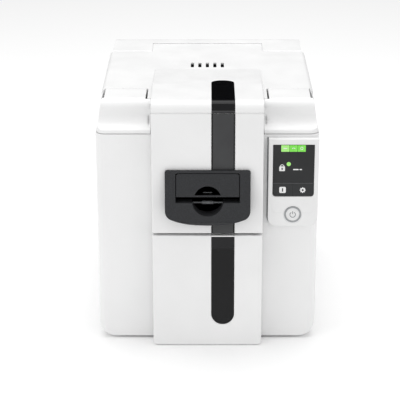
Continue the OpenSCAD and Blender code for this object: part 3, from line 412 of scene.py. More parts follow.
# Epoxy chip body: matte black with a fine grain.
chip_epoxy = new_material("moulded_epoxy_chip", "191a1b", 0.6)
tint(chip_epoxy, 3, ("161718", "202122"))
grain(chip_epoxy, 0.5, 0.01)

# Tinned pins: bright, slightly rough solder.
tinned = new_material("tinned_solder", "c9cccf", 0.3, Metallic=1.0)
wear(tinned, 1, 0.2, 0.4)
grain(tinned, 0.8, 0.01)


def block(name, low, high, material, edge_mm, body, finish=None):
    """Box between two corners in metres, with rounded edges, on a body. The finish argument is not used."""
    rings = [[(low[0], low[1], z), (high[0], low[1], z), (high[0], high[1], z), (low[0], high[1], z)]
             for z in (low[2], high[2])]
    piece = closed_rings(name, rings, material)
    edge = piece.modifiers.new("soft_edges", "BEVEL")
    edge.width = edge_mm * MM
    edge.segments = 2
    edge.harden_normals = True
    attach(piece, body)


# pins: a short box on every point
pin_tree, pin_in, pin_out = geometry_tree("pin_rows", (
    ("Width", "Float", 0.0005), ("Length", "Float", 0.002)))
pin_size = add_node(pin_tree, "ShaderNodeCombineXYZ", [
    ("X", pin_in, "Length"), ("Y", pin_in, "Width"), ("Z", pin_in, "Width")])
pin_shape = add_node(pin_tree, "GeometryNodeMeshCube", [("Size", pin_size, "Vector")])
pins_set = add_node(pin_tree, "GeometryNodeInstanceOnPoints", [
    ("Points", pin_in, "Geometry"), ("Instance", pin_shape, "Mesh")])
finish_tree(pin_tree, pin_out, pins_set, tinned)

# chips, each with a row of pins along its top and bottom
board_low, board_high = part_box("main_board")
STANDOFF_H, BOARD_T = 0.008, 0.0016
board_face = board_low.x + STANDOFF_H + BOARD_T
board_middle = (board_low.y + board_high.y) / 2
CHIP_H, PIN_UP, PIN_REACH = 0.0024, 0.0005, 0.0006
PIN_PITCH_MM, FIRST_PIN = 1.6, 0.6  # the first pin's place is a share of the pitch
# along Y from the board's middle, up from the ground, width and height
CHIPS_MM = ((-6, 82.5, 25, 25), (-42, 60, 12, 9), (24, 62, 14, 9), (-40, 92, 9, 9))
pin_points = []
for number, (along, up, wide, tall) in enumerate(CHIPS_MM):
    middle_y, z = board_middle + along * MM, up * MM
    low = (board_face, middle_y - wide * MM / 2, z - tall * MM / 2)
    high = (board_face + CHIP_H, middle_y + wide * MM / 2, z + tall * MM / 2)
    block(f"chip_{number}", low, high, chip_epoxy, 0.25, "root")
    for side in (-1, 1):
        for step in range(int(wide / PIN_PITCH_MM)):
            y = low[1] + (step + FIRST_PIN) * PIN_PITCH_MM * MM
            pin_points.append((board_face + PIN_UP, y, z + side * (tall * MM / 2 + PIN_REACH)))

# Vinyl sleeve shrunk on a can: smooth blue-black with a soft gloss.
can_sleeve = new_material("shrunk_vinyl_sleeve", "23252b", 0.35)
tint(can_sleeve, 4, ("202228", "292b32"))

# two electrolytic capacitors: sleeved cans with a groove near the board and a bare top
CAN_R_MM, CAN_DROP = 5.0, 0.016
for number, along in enumerate((-0.045, -0.030)):
    centre = (board_face, board_middle + along, board_high.z - CAN_DROP)
    sleeve = turned(f"capacitor_sleeve_{number}", (
        (0, 0), (0, CAN_R_MM), (1.2, CAN_R_MM + 0.15), (2.0, CAN_R_MM - 0.2), (2.8, CAN_R_MM + 0.15),
        (11.6, CAN_R_MM + 0.15), (12.2, CAN_R_MM - 0.3), (12.2, 0)), centre, can_sleeve)
    top = turned(f"capacitor_top_{number}", ((12.15, 0), (12.15, 4.2), (12.4, 4.0), (12.4, 0)), centre,
                 tinned)
    for piece in (sleeve, top):
        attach(piece, "root")

# White nylon, moulded: slightly yellow, waxy.
plug_nylon = new_material("white_nylon_housing", "dddcd6", 0.45)
tint(plug_nylon, 8, ("d9d8d1", "e3e2dd"))

# plug housings with a row of contacts, each a skin over the board's own plug
PLUG_OUT, PLUG_L, PLUG_H, PLUG_INSET, SKIN = 0.0074, 0.032, 0.008, 0.008, 0.0001
CONTACTS, CONTACT_PITCH, FIRST_CONTACT, CONTACT_OUT = 10, 0.0031, 0.0015, 0.0077
for number, z in enumerate((0.040, 0.056)):
    y = board_high.y - PLUG_INSET
    low = (board_face, y - PLUG_L - SKIN, z - SKIN)
    high = (board_face + PLUG_OUT + SKIN, y + SKIN, z + PLUG_H + SKIN)
    block(f"plug_housing_{number}", low, high, plug_nylon, 0.3, "root", "natural_plastic")
    pin_points += [(board_face + CONTACT_OUT, y - FIRST_CONTACT - step * CONTACT_PITCH, z + PLUG_H / 2)
                   for step in range(CONTACTS)]
chip_pins = grown("chip_pins", pin_tree, pin_points, (("Length", 0.001), ("Width", 0.0012)))
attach(chip_pins, "root")

# ---- Power supply, motor, fan and sockets ---------------------------------
# A folded steel can over the power supply, the stepping motor that drives the
# belt, the cooling fan, the mains inlet and two data sockets in the rear sheet.

moulded("power_supply_can", "power_supply", zinc_steel, 0.4)

# Black electrocoated steel and plastic: smooth, half matt.
black_coat = new_material("black_electrocoat", "1c1d1e", 0.45)
tint(black_coat, 8, ("1a1b1c", "232425"))
grain(black_coat, 0.6, 0.01)
for name, node in (("stepping_motor", "drive_motor"), ("fan_surround", "fan_frame"),
                   ("mains_inlet", "power_inlet")):
    moulded(name, node, black_coat, 0.4)
moulded("fan_rotor_blades", "fan_rotor", black_coat, 0.25)
moulded("data_socket_shells", "data_sockets", tinned, 0.3)

# ---- Rollers and belt -----------------------------------------------------
# Four drive rollers on steel shafts in the side frames, each with a toothed
# pulley on its left end; a toothed belt runs round them and the motor's pulley.

SHAFT_R_MM = 3.0
PULLEY_R_MM = 6.0
BELT_W_MM = 5.0
TOOTH_PITCH_MM = 2.5
RING_STEPS = 72  # straight stretches in a pulley's ring

# Drive roller rubber: dark grey, ground dull, with a fine cross grain.
roller_rubber = new_material("ground_roller_rubber", "2a2a2b", 0.75)
tint(roller_rubber, 2, ("262627", "323233"), stretch=(1, 8, 8))
grain(roller_rubber, 0.5, 0.02)

# Platen rubber: harder and smoother than the drive rollers.
platen_rubber = new_material("smooth_platen_rubber", "1b1b1c", 0.5)
tint(platen_rubber, 3, ("18181a", "222223"))
grain(platen_rubber, 0.4, 0.006)

# Cleaning roller: tacky blue silicone with a wet-looking sheen.
blue_silicone = new_material("tacky_blue_silicone", "3f74b0", 0.3, Coat_Weight=0.4)
tint(blue_silicone, 6, ("3a6da8", "4a80bb"))
grain(blue_silicone, 1.2, 0.008)

# Neoprene belt: black, dull, with a cloth weave about 1 mm across on its teeth.
belt_rubber = new_material("neoprene_belt", "1a1a1b", 0.7)
tint(belt_rubber, 1, ("171718", "262627"))
grain(belt_rubber, 1.0, 0.03)

# teeth: short bars across a path that lies in a plane square to X
tooth_tree, tooth_in, tooth_out = geometry_tree("belt_teeth", (
    ("Pitch", "Float", 0.0025), ("Width", "Float", 0.005), ("Length", "Float", 0.0012),
    ("Depth", "Float", 0.0007)))
tooth_path = add_node(tooth_tree, "GeometryNodeMeshToCurve", [("Mesh", tooth_in, "Geometry")])
tooth_spots = add_node(tooth_tree, "GeometryNodeCurveToPoints", [
    ("Curve", tooth_path, "Curve"), ("Length", tooth_in, "Pitch")], mode="LENGTH")
tooth_size = add_node(tooth_tree, "ShaderNodeCombineXYZ", [
    ("X", tooth_in, "Width"), ("Y", tooth_in, "Length"), ("Z", tooth_in, "Depth")])
tooth_shape = add_node(tooth_tree, "GeometryNodeMeshCube", [("Size", tooth_size, "Vector")])
tooth_turn = add_node(tooth_tree, "FunctionNodeAlignRotationToVector",
                      [("Vector", tooth_spots, "Tangent")], axis="Y", pivot_axis="X")
teeth_set = add_node(tooth_tree, "GeometryNodeInstanceOnPoints", [
    ("Points", tooth_spots, "Points"), ("Instance", tooth_shape, "Mesh"),
    ("Rotation", tooth_turn, "Rotation")])
finish_tree(tooth_tree, tooth_out, teeth_set, belt_rubber)


def ring_edges(count):
    """Edges that join a row of points into a closed ring."""
    return [(i, (i + 1) % count) for i in range(count)]


def box_and_axis(node):
    """A CAD node's box, and the point of its axis on the plane X = 0."""
    low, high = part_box(node)
    return low, high, (0.0, (low.y + high.y) / 2, (low.z + high.z) / 2)


def eased_bar(left, right, radius, ease):
    """Profile of a round bar along X with eased ends, in mm."""
    return ((left, 0), (left, radius - ease), (left + ease, radius),
            (right - ease, radius), (right, radius - ease), (right, 0))


RIB_MM, RIB_EASE_MM, GROOVE_MM, ROOT_MM = 0.4, 0.2, 0.9, 0.8


def toothed_pulley(body, centre, x, material):
    """Pulley drum with a rib on each side and teeth round it."""
    half, outer = BELT_W_MM / 2, PULLEY_R_MM - RIB_EASE_MM
    drum = turned(body + "_pulley", (
        (-half - RIB_MM, 0), (-half - RIB_MM, outer), (-half, PULLEY_R_MM),
        (-half + RIB_MM, PULLEY_R_MM - GROOVE_MM), (half - RIB_MM, PULLEY_R_MM - GROOVE_MM),
        (half, PULLEY_R_MM), (half + RIB_MM, outer), (half + RIB_MM, 0)), (x, centre[1], centre[2]), material)
    turns = [math.tau * i / RING_STEPS for i in range(RING_STEPS)]
    root_r = (PULLEY_R_MM - ROOT_MM) * MM
    points = [(x, centre[1] + root_r * math.cos(t), centre[2] + root_r * math.sin(t)) for t in turns]
    teeth = grown(body + "_pulley_teeth", tooth_tree, points, edges=ring_edges(RING_STEPS), values=(
        ("Pitch", TOOTH_PITCH_MM * MM), ("Width", BELT_W_MM * MM), ("Depth", 0.0012)))
    teeth.data.materials[0] = material
    for piece in (drum, teeth):
        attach(piece, body)


def roller(body, rubber, half_mm):
    """Rubber sleeve with eased ends on its steel shaft. Its place and radius come from the CAD node's box."""
    low, high, centre = box_and_axis(body)
    radius = (high.z - low.z) / 2 / MM
    sleeve = turned(body + "_sleeve", eased_bar(-half_mm, half_mm, radius, 0.6), centre, rubber)
    shaft = turned(body + "_shaft", eased_bar(low.x / MM, high.x / MM, SHAFT_R_MM, 0.4), centre, bright_steel)
    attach(sleeve, body)
    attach(shaft, body)
    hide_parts(body)
    return centre


# Acetal pulleys: off-white, waxy, slightly translucent.
natural_acetal = new_material("natural_acetal", "dcdbd4", 0.4, Subsurface_Weight=0.1)
tint(natural_acetal, 12, ("d8d7cf", "e2e1db"))
grain(natural_acetal, 1.0, 0.006)

belt_low, belt_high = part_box("toothed_belt")
belt_x = (belt_low.x + belt_high.x) / 2
for body, rubber, half_mm in (("pick_roller", roller_rubber, 12), ("feed_roller", roller_rubber, 29),
                              ("platen_roller", platen_rubber, 30), ("transport_roller", roller_rubber, 29)):
    toothed_pulley(body, roller(body, rubber, half_mm), belt_x, natural_acetal)
roller("cleaning_roller", blue_silicone, 28)

motor_low, motor_high, motor_centre = box_and_axis("motor_pulley")
motor_left, motor_right = motor_low.x / MM, motor_high.x / MM
motor_shaft = turned("motor_shaft", (
    (motor_left, 0), (motor_left, 2.3), (motor_left + 0.3, 2.5), (motor_right - 0.3, 2.5), (motor_right, 2.2),
    (motor_right, 0)), motor_centre, bright_steel)
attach(motor_shaft, "motor_pulley")
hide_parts("motor_pulley")
toothed_pulley("motor_pulley", motor_centre, belt_x, natural_acetal)

moulded("toothed_belt_band", "toothed_belt", belt_rubber, 0.15)

# the belt's teeth follow its inner edge, found on the CAD node's own mesh
belt_mesh = bmesh.new()
belt_mesh.from_mesh(frame["nodes"]["toothed_belt"].data)
bmesh.ops.remove_doubles(belt_mesh, verts=belt_mesh.verts, dist=SAME_POINT)
CORNER_TURN = 1  # radians; a flat stretch of the side turns less
rim = {}
for edge in belt_mesh.edges:
    on_side = all(abs(v.co.x - belt_low.x) < SAME_POINT for v in edge.verts)
    if on_side and len(edge.link_faces) == 2 and edge.calc_face_angle() > CORNER_TURN:
        a, b = edge.verts
        rim.setdefault(a, []).append(b)
        rim.setdefault(b, []).append(a)
loops = []
while rim:
    loop = [next(iter(rim))]
    while True:
        onward = [v for v in rim.pop(loop[-1]) if v in rim]
        if not onward:
            break
        loop.append(onward[0])
    loops.append([(belt_x, v.co.y, v.co.z) for v in loop])
inner = min((loop for loop in loops if len(loop) > 8),
            key=lambda loop: max(p[1] for p in loop) - min(p[1] for p in loop))
belt_teeth = grown("toothed_belt_teeth", tooth_tree, inner, edges=ring_edges(len(inner)), values=(
    ("Pitch", TOOTH_PITCH_MM * MM), ("Width", BELT_W_MM * MM)))
belt_mesh.free()
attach(belt_teeth, carrier_of["toothed_belt"])

# ---- Ribbon cassette ------------------------------------------------------
# Two acetal cheeks joined by guide rods hold a supply spool and a take-up spool.
# The dye film runs from one to the other under the print head.

moulded("cassette_cheeks", "ribbon_cassette", natural_acetal, 0.4)

# Dye film wound on a core: glossy plum, in panels that change every few turns.
wound_film = new_material("wound_dye_film", "6b2f4a", 0.22, Coat_Weight=0.5)
tint(wound_film, 3, ("5a2a55", "8a3350"), stretch=(60, 1, 1))
grain(wound_film, 0.6, 0.004, stretch=(60, 1, 1))

# The film itself: yellow, magenta, cyan and black panels one after another.
FILM_PANEL_MM = 22
dye_film = new_material("dye_film", "b23a6a", 0.15, Transmission_Weight=0.25)
film_tree = dye_film.node_tree
film_place = add_node(film_tree, "ShaderNodeTexCoord")
film_split = add_node(film_tree, "ShaderNodeSeparateXYZ", [("Vector", film_place, "Object")])
film_count = add_node(film_tree, "ShaderNodeMath", [(0, film_split, "Y")], operation="MULTIPLY")
film_count.inputs[1].default_value = 1000 / FILM_PANEL_MM / 4
film_phase = add_node(film_tree, "ShaderNodeMath", [(0, film_count, 0)], operation="FRACT")
film_ramp = add_node(film_tree, "ShaderNodeValToRGB", [("Fac", film_phase, 0)])
film_ramp.color_ramp.interpolation = "CONSTANT"
for place, colour in ((0.0, "d8b13a"), (0.25, "b8356e"), (0.5, "2f7fb0"), (0.75, "1c1c1e")):
    stop = film_ramp.color_ramp.elements.new(place) if place else film_ramp.color_ramp.elements[0]
    stop.position = place
    stop.color = linear(colour)
film_ramp.color_ramp.elements.remove(film_ramp.color_ramp.elements[-1])
feed(film_tree, "Base Color", film_ramp, "Color")

FILM_HALF_MM, CHEEK_IN_MM = 27, 28  # half the film's width, and a cheek's inner face
FILM_T_MM, FILM_GAP_MM = 0.08, 0.1  # the film's thickness, and its gap to the roll
HUB_R_MM, FLANGE_R_MM = 3, 6
rolls = {}
for body, film_r in (("supply_spool", 15), ("takeup_spool", 12)):
    low, high, centre = box_and_axis(body)
    end = high.x / MM
    film = turned(body + "_film", eased_bar(-FILM_HALF_MM, FILM_HALF_MM, film_r, 0.3), centre, wound_film,
                  steps=64)
    core = turned(body + "_core", (
        (-end, 0), (-end, HUB_R_MM - 0.4), (-end + 0.4, HUB_R_MM), (-CHEEK_IN_MM, HUB_R_MM),
        (-CHEEK_IN_MM + 0.4, FLANGE_R_MM), (CHEEK_IN_MM - 0.4, FLANGE_R_MM), (CHEEK_IN_MM, HUB_R_MM),
        (end - 0.4, HUB_R_MM), (end, HUB_R_MM - 0.4), (end, 0)), centre, natural_acetal)
    rolls[body] = (centre[1:], (film_r + FILM_GAP_MM) * MM)
    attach(film, body)
    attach(core, body)
    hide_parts(body)


def leaving_point(centre, radius, target, side):
    """Where a straight run to a target leaves a circle, both as (y, z) in metres."""
    dy, dz = target[0] - centre[0], target[1] - centre[1]
    turn = math.atan2(dz, dy) + side * math.acos(radius / math.hypot(dy, dz))
    return (centre[0] + radius * math.cos(turn), centre[1] + radius * math.sin(turn))


# the run of film: off the take-up spool, under the head, on to the supply spool
head_low, head_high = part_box("print_head")
FILM_DROP, FILM_INSET = 0.0003, 0.001  # below the head, and in from its front and back
film_z = head_low.z - FILM_DROP
near, far = (head_low.y + FILM_INSET, film_z), (head_high.y - FILM_INSET, film_z)
film_line = (leaving_point(*rolls["takeup_spool"], near, -1), near,
             far, leaving_point(*rolls["supply_spool"], far, 1))
half_width, thickness = FILM_HALF_MM * MM, FILM_T_MM * MM
film_rings = [[(-half_width, y, z), (half_width, y, z), (half_width, y, z + thickness),
               (-half_width, y, z + thickness)] for y, z in film_line]
film_run = closed_rings("dye_film_run", film_rings, dye_film)
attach(film_run, carrier_of["ribbon_cassette"])

# ---- Card hopper, tray and chute ------------------------------------------
# Moulded acetal pieces: the feeder behind the door with its sliding weight, and
# the chute that drops printed cards into the output tray.

moulded("feeder_hopper", "card_hopper", natural_acetal, 0.5)
moulded("drop_chute", "output_chute", natural_acetal, 0.3)
moulded("card_tray", "output_tray", natural_acetal, 0.6)

# Glass-filled nylon: charcoal, dull, with pale fibre flecks.
filled_nylon = new_material("glass_filled_nylon", "3c3e40", 0.6)
tint(filled_nylon, 1.5, ("37393b", "484a4c"), stretch=(1, 4, 1))
grain(filled_nylon, 0.8, 0.01)
moulded("card_stack_weight", "card_weight", filled_nylon, 0.6)

# ---- Shoulders, release keys and latch hooks ------------------------------
# Covers either side of the band, stood back on a hollow ledge. Each has a wide
# release key let into its top, which tips an acetal hook off the lid.

for side in ("left", "right"):
    moulded(f"shoulder_cover_{side}", f"shoulder_{side}", white_abs, 0.5)
    moulded(f"release_key_cap_{side}", f"release_key_{side}", white_abs, 0.5)
    moulded(f"latch_hook_arm_{side}", f"latch_hook_{side}", natural_acetal, 0.3)
for name, node in (("hook_pins", "latch_pins"), ("lid_pins", "lid_hinge_pins"),
                   ("door_pins", "door_hinge_pins")):
    moulded(name, node, bright_steel, 0.2)

# ---- Rear housing ---------------------------------------------------------
# White ABS cover behind the lid, with a trough for the lid's two hinge arms.

moulded("rear_cover", "rear_housing", white_abs, 0.3)

# ---- Lid ------------------------------------------------------------------
# White ABS with flat sides, a raised band that folds down over the front, five
# louvre slots, a flat filler each side of the band and a black strip let into it.

moulded("lid_shell", "lid", white_abs, 0.5)
moulded("band_fillers", "side_fillers", white_abs, 0.4)

# lap ribs behind the seams keep dust out: under the fold, each side of the strip, and at the tail's sides
door_low, door_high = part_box("front_door")
inlay_low, inlay_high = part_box("lid_strip")
LAP_Y, LAP_Z = (0.0004, 0.002), (0.00005, 0.001)  # back from the door's face, and up from its top
BAND_X, STRIP_GAP = 0.0582, 0.0001
TAIL_X, TAIL_Y, TAIL_Z = (0.06445, 0.0649), (0.0855, 0.1234), (0.2664, 0.2679)
fold_ys, fold_zs = [door_low.y + y for y in LAP_Y], [door_high.z + z for z in LAP_Z]
for name, xs, ys, zs in (("fold_lap_left", (-BAND_X, inlay_low.x - STRIP_GAP), fold_ys, fold_zs),
                         ("fold_lap_right", (inlay_high.x + STRIP_GAP, BAND_X), fold_ys, fold_zs),
                         ("tail_lap_left", (-TAIL_X[1], -TAIL_X[0]), TAIL_Y, TAIL_Z),
                         ("tail_lap_right", TAIL_X, TAIL_Y, TAIL_Z)):
    block(name, *zip(xs, ys, zs), white_abs, 0.1, "lid", "casing_white")


def paint_reflection_by_height(material, stops):
    """Base colour that changes with height, used to paint reflections: (height in mm, hex colour) from the
    lowest up.
    """
    tree = material.node_tree
    place = add_node(tree, "ShaderNodeTexCoord")
    split = add_node(tree, "ShaderNodeSeparateXYZ", [("Vector", place, "Object")])
    lowest, highest = stops[0][0] * MM, stops[-1][0] * MM
    share = add_node(tree, "ShaderNodeMapRange", [("Value", split, "Z")], From_Min=lowest, From_Max=highest)
    ramp = add_node(tree, "ShaderNodeValToRGB", [("Fac", share, "Result")])
    for number, (height, colour) in enumerate(stops):
        place_on_ramp = (height * MM - lowest) / (highest - lowest)
        stop = ramp.color_ramp.elements[number] if number < 2 else ramp.color_ramp.elements.new(place_on_ramp)
        stop.position = place_on_ramp
        stop.color = linear(colour)
    feed(tree, "Base Color", ramp, "Color")


# Polished black acrylic. Its front below the fold is coloured satin grey like the door's strip: a painted
# reflection of the bright floor.
gloss_black_painted_reflection = new_material("black_acrylic_painted_reflection", "141415", 0.1, IOR=1.4)
paint_reflection_by_height(gloss_black_painted_reflection, ((264, "4a4a4c"), (266.4, "48484a"), (267.2, "18181a"), (277, "141416")))
wear(gloss_black_painted_reflection, 10, 0.08, 0.16)
moulded("lid_inlay", "lid_strip", gloss_black_painted_reflection, 0.3)

# Extruded heat sink: clear anodised aluminium with fine drawn lines along X.
anodised = new_material("anodised_aluminium", "8d9195", 0.4, Metallic=1.0)
tint(anodised, 1, ("868a8e", "989ca0"), stretch=(30, 1, 1))
grain(anodised, 0.5, 0.004, stretch=(30, 1, 1))
moulded("print_head_sink", "print_head", anodised, 0.3)
moulded("print_head_bracket", "head_bracket", zinc_steel, 0.2, steps=1)

# ---- Front door -----------------------------------------------------------
# Upper half of the band: a deep white ABS door with a satin grey strip.

moulded("door_shell", "front_door", white_abs, 0.8)

# Satin grey acrylic behind a fine texture: even dark grey with a soft sheen.
grey_acrylic = new_material("satin_grey_acrylic", "454547", 0.38)
tint(grey_acrylic, 40, ("434345", "494a4b"))
grain(grey_acrylic, 0.6, 0.003)
moulded("door_inlay", "door_strip", grey_acrylic, 0.3)

# Near-black bars along the strip's sides: painted shade for the dark look of its bevelled edges.
bevel_painted_shade = new_material("strip_bevel_painted_shade", "161617", 0.25, IOR=1.4)
tint(bevel_painted_shade, 6, ("141415", "1a1a1b"))
strip_low, strip_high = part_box("door_strip")
mouth_low, mouth_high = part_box("card_mouth")
EDGE_W, EDGE_PROUD, EDGE_DEEP, EDGE_LIFT = 0.0013, 0.00006, 0.0004, 0.0003
MOUTH_LAP = (0.006, 0.002)  # how far an edge runs in behind the mouth, below and above
for number, (bottom, top) in enumerate(((strip_low.z + EDGE_LIFT, mouth_low.z + MOUTH_LAP[0]),
                                        (mouth_high.z - MOUTH_LAP[1], strip_high.z))):
    for side, x in (("left", strip_low.x), ("right", strip_high.x - EDGE_W)):
        low, high = (x, strip_low.y - EDGE_PROUD, bottom), (x + EDGE_W, strip_low.y + EDGE_DEEP, top)
        block(f"strip_edge_{side}_{number}", low, high, bevel_painted_shade, 0.05, "door", "grey_strip")

# ---- Card mouth -----------------------------------------------------------
# Black ABS block with a spark-eroded grain: the card slot, a hinged flap above
# it, and a thumb recess with a small grey roller inside.

# ABS from a spark-eroded mould: near black, dull, with a coarse even grain.
black_abs = new_material("spark_textured_black_ABS", "343537", 0.58)
tint(black_abs, 1.2, ("313234", "3b3c3f"))
grain(black_abs, 0.9, 0.02)
moulded("mouth_block", "card_mouth", black_abs, 0.6)
moulded("mouth_flap_panel", "mouth_flap", black_abs, 0.5)

# Grey acetal, turned: satin, for the roller. The recess's floor plates and rib share it: their grey, lighter
# than the black block, is painted light inside the shaded recess.
grey_acetal_and_painted_light = new_material("grey_acetal_and_painted_recess_light", "6c6e70", 0.35, IOR=1.48)
tint(grey_acetal_and_painted_light, 6, ("66686a", "737577"))
grain(grey_acetal_and_painted_light, 0.8, 0.004)
moulded("mouth_guide_roller", "mouth_roller", grey_acetal_and_painted_light, 0.2)


def flat_inlay(name, outline, front, depth, material, body):
    """Closed plate with an (x, z) outline in mm, its front at a y in metres and its depth in mm."""
    rings = [[(x * MM, front + back * MM, z * MM) for x, z in outline] for back in (0, depth)]
    plate = closed_rings(name, rings, material)
    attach(plate, body)


def arc(x, z, radius, start, end, steps=12):
    """Points on an arc in the XZ plane, in mm and degrees."""
    turns = [math.radians(start + (end - start) * i / steps) for i in range(steps + 1)]
    return [(x + radius * math.cos(t), z + radius * math.sin(t)) for t in turns]


# floor plates of the thumb recess, above and below the card slot, and a rib on the upper one: painted light
# in the shaded recess, the rib a painted highlight line
RECESS_X_MM, RECESS_Z_MM, RECESS_R_MM = 0.3, 171.5, 16.2
SLOT_Z_MM, SLOT_GAP_MM = (169.0, 174.9), 0.3
RECESS_BACK, PLATE_STEP, PLATE_T_MM = -0.1443, 0.0008, 0.7
plate_front = RECESS_BACK - PLATE_STEP
for name, edge_z, turn in (("lower", SLOT_Z_MM[0] - SLOT_GAP_MM, 180),
                           ("upper", SLOT_Z_MM[1] + SLOT_GAP_MM, 0)):
    reach = math.degrees(math.asin(abs(edge_z - RECESS_Z_MM) / RECESS_R_MM))
    outline = arc(RECESS_X_MM, RECESS_Z_MM, RECESS_R_MM, turn + reach, turn + 180 - reach, 24)
    flat_inlay(f"recess_painted_light_floor_{name}", outline, plate_front, PLATE_T_MM, grey_acetal_and_painted_light, "door")
RIB_X, RIB_Z = (-0.0045, 0.0051), (0.1758, 0.1768)
block("recess_painted_highlight_rib", (RIB_X[0], plate_front - PLATE_STEP, RIB_Z[0]), (RIB_X[1], plate_front, RIB_Z[1]),
      grey_acetal_and_painted_light, 0.2, "door", "matte_black")

# ---- Output drawer --------------------------------------------------------
# Lower half of the band, the front of a drawer, with a smoked window that
# shows how full the tray is.

moulded("drawer_front", "output_cover", white_abs, 0.8)

# Smoked polycarbonate: near-black grey with a hard, clear gloss. Its colour is lighter in a band across the
# top and a little lighter towards the bottom: a painted reflection.
smoked = new_material("smoked_polycarbonate_painted_reflection", "161617", 0.12, IOR=1.42)
paint_reflection_by_height(smoked, ((20, "1b1b1d"), (70, "141416"), (112, "121213"), (114.5, "232325"), (130, "252527")))
wear(smoked, 14, 0.1, 0.16)
moulded("drawer_window", "output_window", smoked, 0.3)

# a thin white edge closes the window's top
window_low, window_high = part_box("output_window")
CAP_H, CAP_DEEP, CAP_SIDE, CAP_PROUD = 0.0015, 0.0008, 0.0001, 0.00005
cap_low = (window_low.x - CAP_SIDE, window_low.y - CAP_PROUD, window_high.z - CAP_H)
cap_high = (window_high.x + CAP_SIDE, window_low.y + CAP_DEEP, window_high.z)
block("window_top_edge", cap_low, cap_high, white_abs, 0.1, "drawer", "casing_white")

# ---- Control panel --------------------------------------------------------
# Slim white housing on the right of the front, with a colour display, and a
# power button inside a grey ring.

# ABS from a polished mould: white, smoother than the casing.
panel_abs = new_material("smooth_white_ABS", "ececec", 0.35, IOR=1.53)
tint(panel_abs, 60, ("ebebeb", "eeeeee"))
grain(panel_abs, 0.8, 0.002)
moulded("panel_housing", "control_panel", panel_abs, 0.7)

# Cover glass over a dark display, which lights it a little: charcoal under a hard gloss.
cover_glass = new_material("display_cover_glass", "343536", 0.2, IOR=1.42)
tint(cover_glass, 30, ("333435", "373839"))
moulded("display_window", "display", cover_glass, 0.2)


def round_box(x0, x1, z0, z1, radius):
    """Outline of a rectangle with round corners, in mm."""
    corners = ((x0 + radius, z0 + radius, 180), (x1 - radius, z0 + radius, 270),
               (x1 - radius, z1 - radius, 0), (x0 + radius, z1 - radius, 90))
    return [point for x, z, start in corners for point in arc(x, z, radius, start, start + 90, 4)]


def arc_band(x, z, outer, inner, start, end, steps=16):
    """Outline of a curved band between two radii, in mm and degrees."""
    return arc(x, z, outer, start, end, steps) + arc(x, z, inner, end, start, steps)


def lit_layer(name, colour, brightest):
    """Ink of one colour on the display's page, evenly lit from behind: flat, with only a faint gloss."""
    layer = new_material("lit_" + name, colour, 0.3, IOR=1.3)
    tint(layer, 4, (colour, brightest))
    return layer


page_foot = lit_layer("footer_grey", "424344", "454647")
page_line = lit_layer("line_grey", "606162", "646566")
page_white = lit_layer("icon_white", "ececec", "f2f2f2")
page_green = lit_layer("status_green", "8ce664", "96ee70")
page_pale = lit_layer("pale_green", "b4f48e", "bdf79a")
page_dark = lit_layer("icon_hole_grey", "38393a", "3b3c3d")

# the lit page: a status bar, a lock, a ready dot and two keys, thin layers on the glass with no lettering
display_low, display_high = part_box("display")
glass_x0, glass_x1 = display_low.x / MM, display_high.x / MM
foot_low = display_low.z / MM
FOOT_TOP_MM = 183.0
status_bar = [round_box(x0, x1, 218.0, display_high.z / MM - 0.05, 0.4)
              for x0, x1 in ((77.4, 86.0), (86.3, 94.5), (94.8, 103.2))]
GEAR_X_MM, GEAR_Z_MM, GEAR_TEETH = 100.9, 175.3, 8
TOOTH = ((2.5, -14), (3.3, -9), (3.3, 9), (2.5, 14))  # radius in mm, and degrees from the tooth's middle
gear = [(GEAR_X_MM + r * math.cos(math.radians(number * 360 / GEAR_TEETH + turn)),
         GEAR_Z_MM + r * math.sin(math.radians(number * 360 / GEAR_TEETH + turn)))
        for number in range(GEAR_TEETH) for r, turn in TOOTH]
page = (
    ("footer", round_box(glass_x0 + 0.1, glass_x1 - 0.1, foot_low + 0.1, FOOT_TOP_MM, 2.6), page_foot, 1),
    ("footer_line", round_box(glass_x0 + 0.1, glass_x1 - 0.1, FOOT_TOP_MM - 0.3, FOOT_TOP_MM + 0.3, 0.1),
     page_line, 2),
    ("footer_split", round_box(89.9, 90.4, foot_low + 0.3, FOOT_TOP_MM - 0.3, 0.1), page_dark, 2),
    ("status_left", status_bar[0], page_pale, 1), ("status_middle", status_bar[1], page_green, 1),
    ("status_right", status_bar[2], page_green, 1),
    ("status_mark_left", round_box(79.6, 83.8, 221.2, 222.2, 0.4), page_white, 2),
    ("status_mark_middle", arc_band(90.4, 220.6, 2.0, 1.3, 20, 160), page_white, 2),
    ("status_mark_right", arc_band(99.0, 221.8, 1.7, 1.0, 0, 350, 24), page_white, 2),
    ("lock_body", round_box(75.6, 81.8, 196.5, 201.9, 0.8), page_white, 1),
    ("lock_shackle", arc_band(78.7, 201.7, 2.3, 1.5, 0, 180), page_white, 1),
    ("lock_hole", round_box(78.1, 79.3, 198.0, 200.4, 0.5), page_dark, 2),
    ("ready_dot", arc(85.6, 204.4, 2.3, 0, 345, 23), page_pale, 1),
    ("text_bar_long", round_box(90.2, 96.2, 197.6, 199.0, 0.6), page_white, 1),
    ("text_bar_short", round_box(97.0, 99.7, 197.6, 199.0, 0.6), page_white, 1),
    ("card_key", round_box(76.0, 83.1, 172.0, 179.0, 1.4), page_white, 2),
    ("card_key_mark", round_box(79.0, 80.1, 173.6, 177.4, 0.4), page_foot, 3),
    ("settings_gear", gear, page_white, 2),
    ("settings_hole", arc(GEAR_X_MM, GEAR_Z_MM, 1.1, 0, 330, 11), page_foot, 3),
)
LAYER_MM, SUNK_MM = 0.05, 0.1
for name, outline, layer, level in page:
    height = level * LAYER_MM
    flat_inlay("page_" + name, outline, display_low.y - height * MM, height + SUNK_MM, layer, "root")

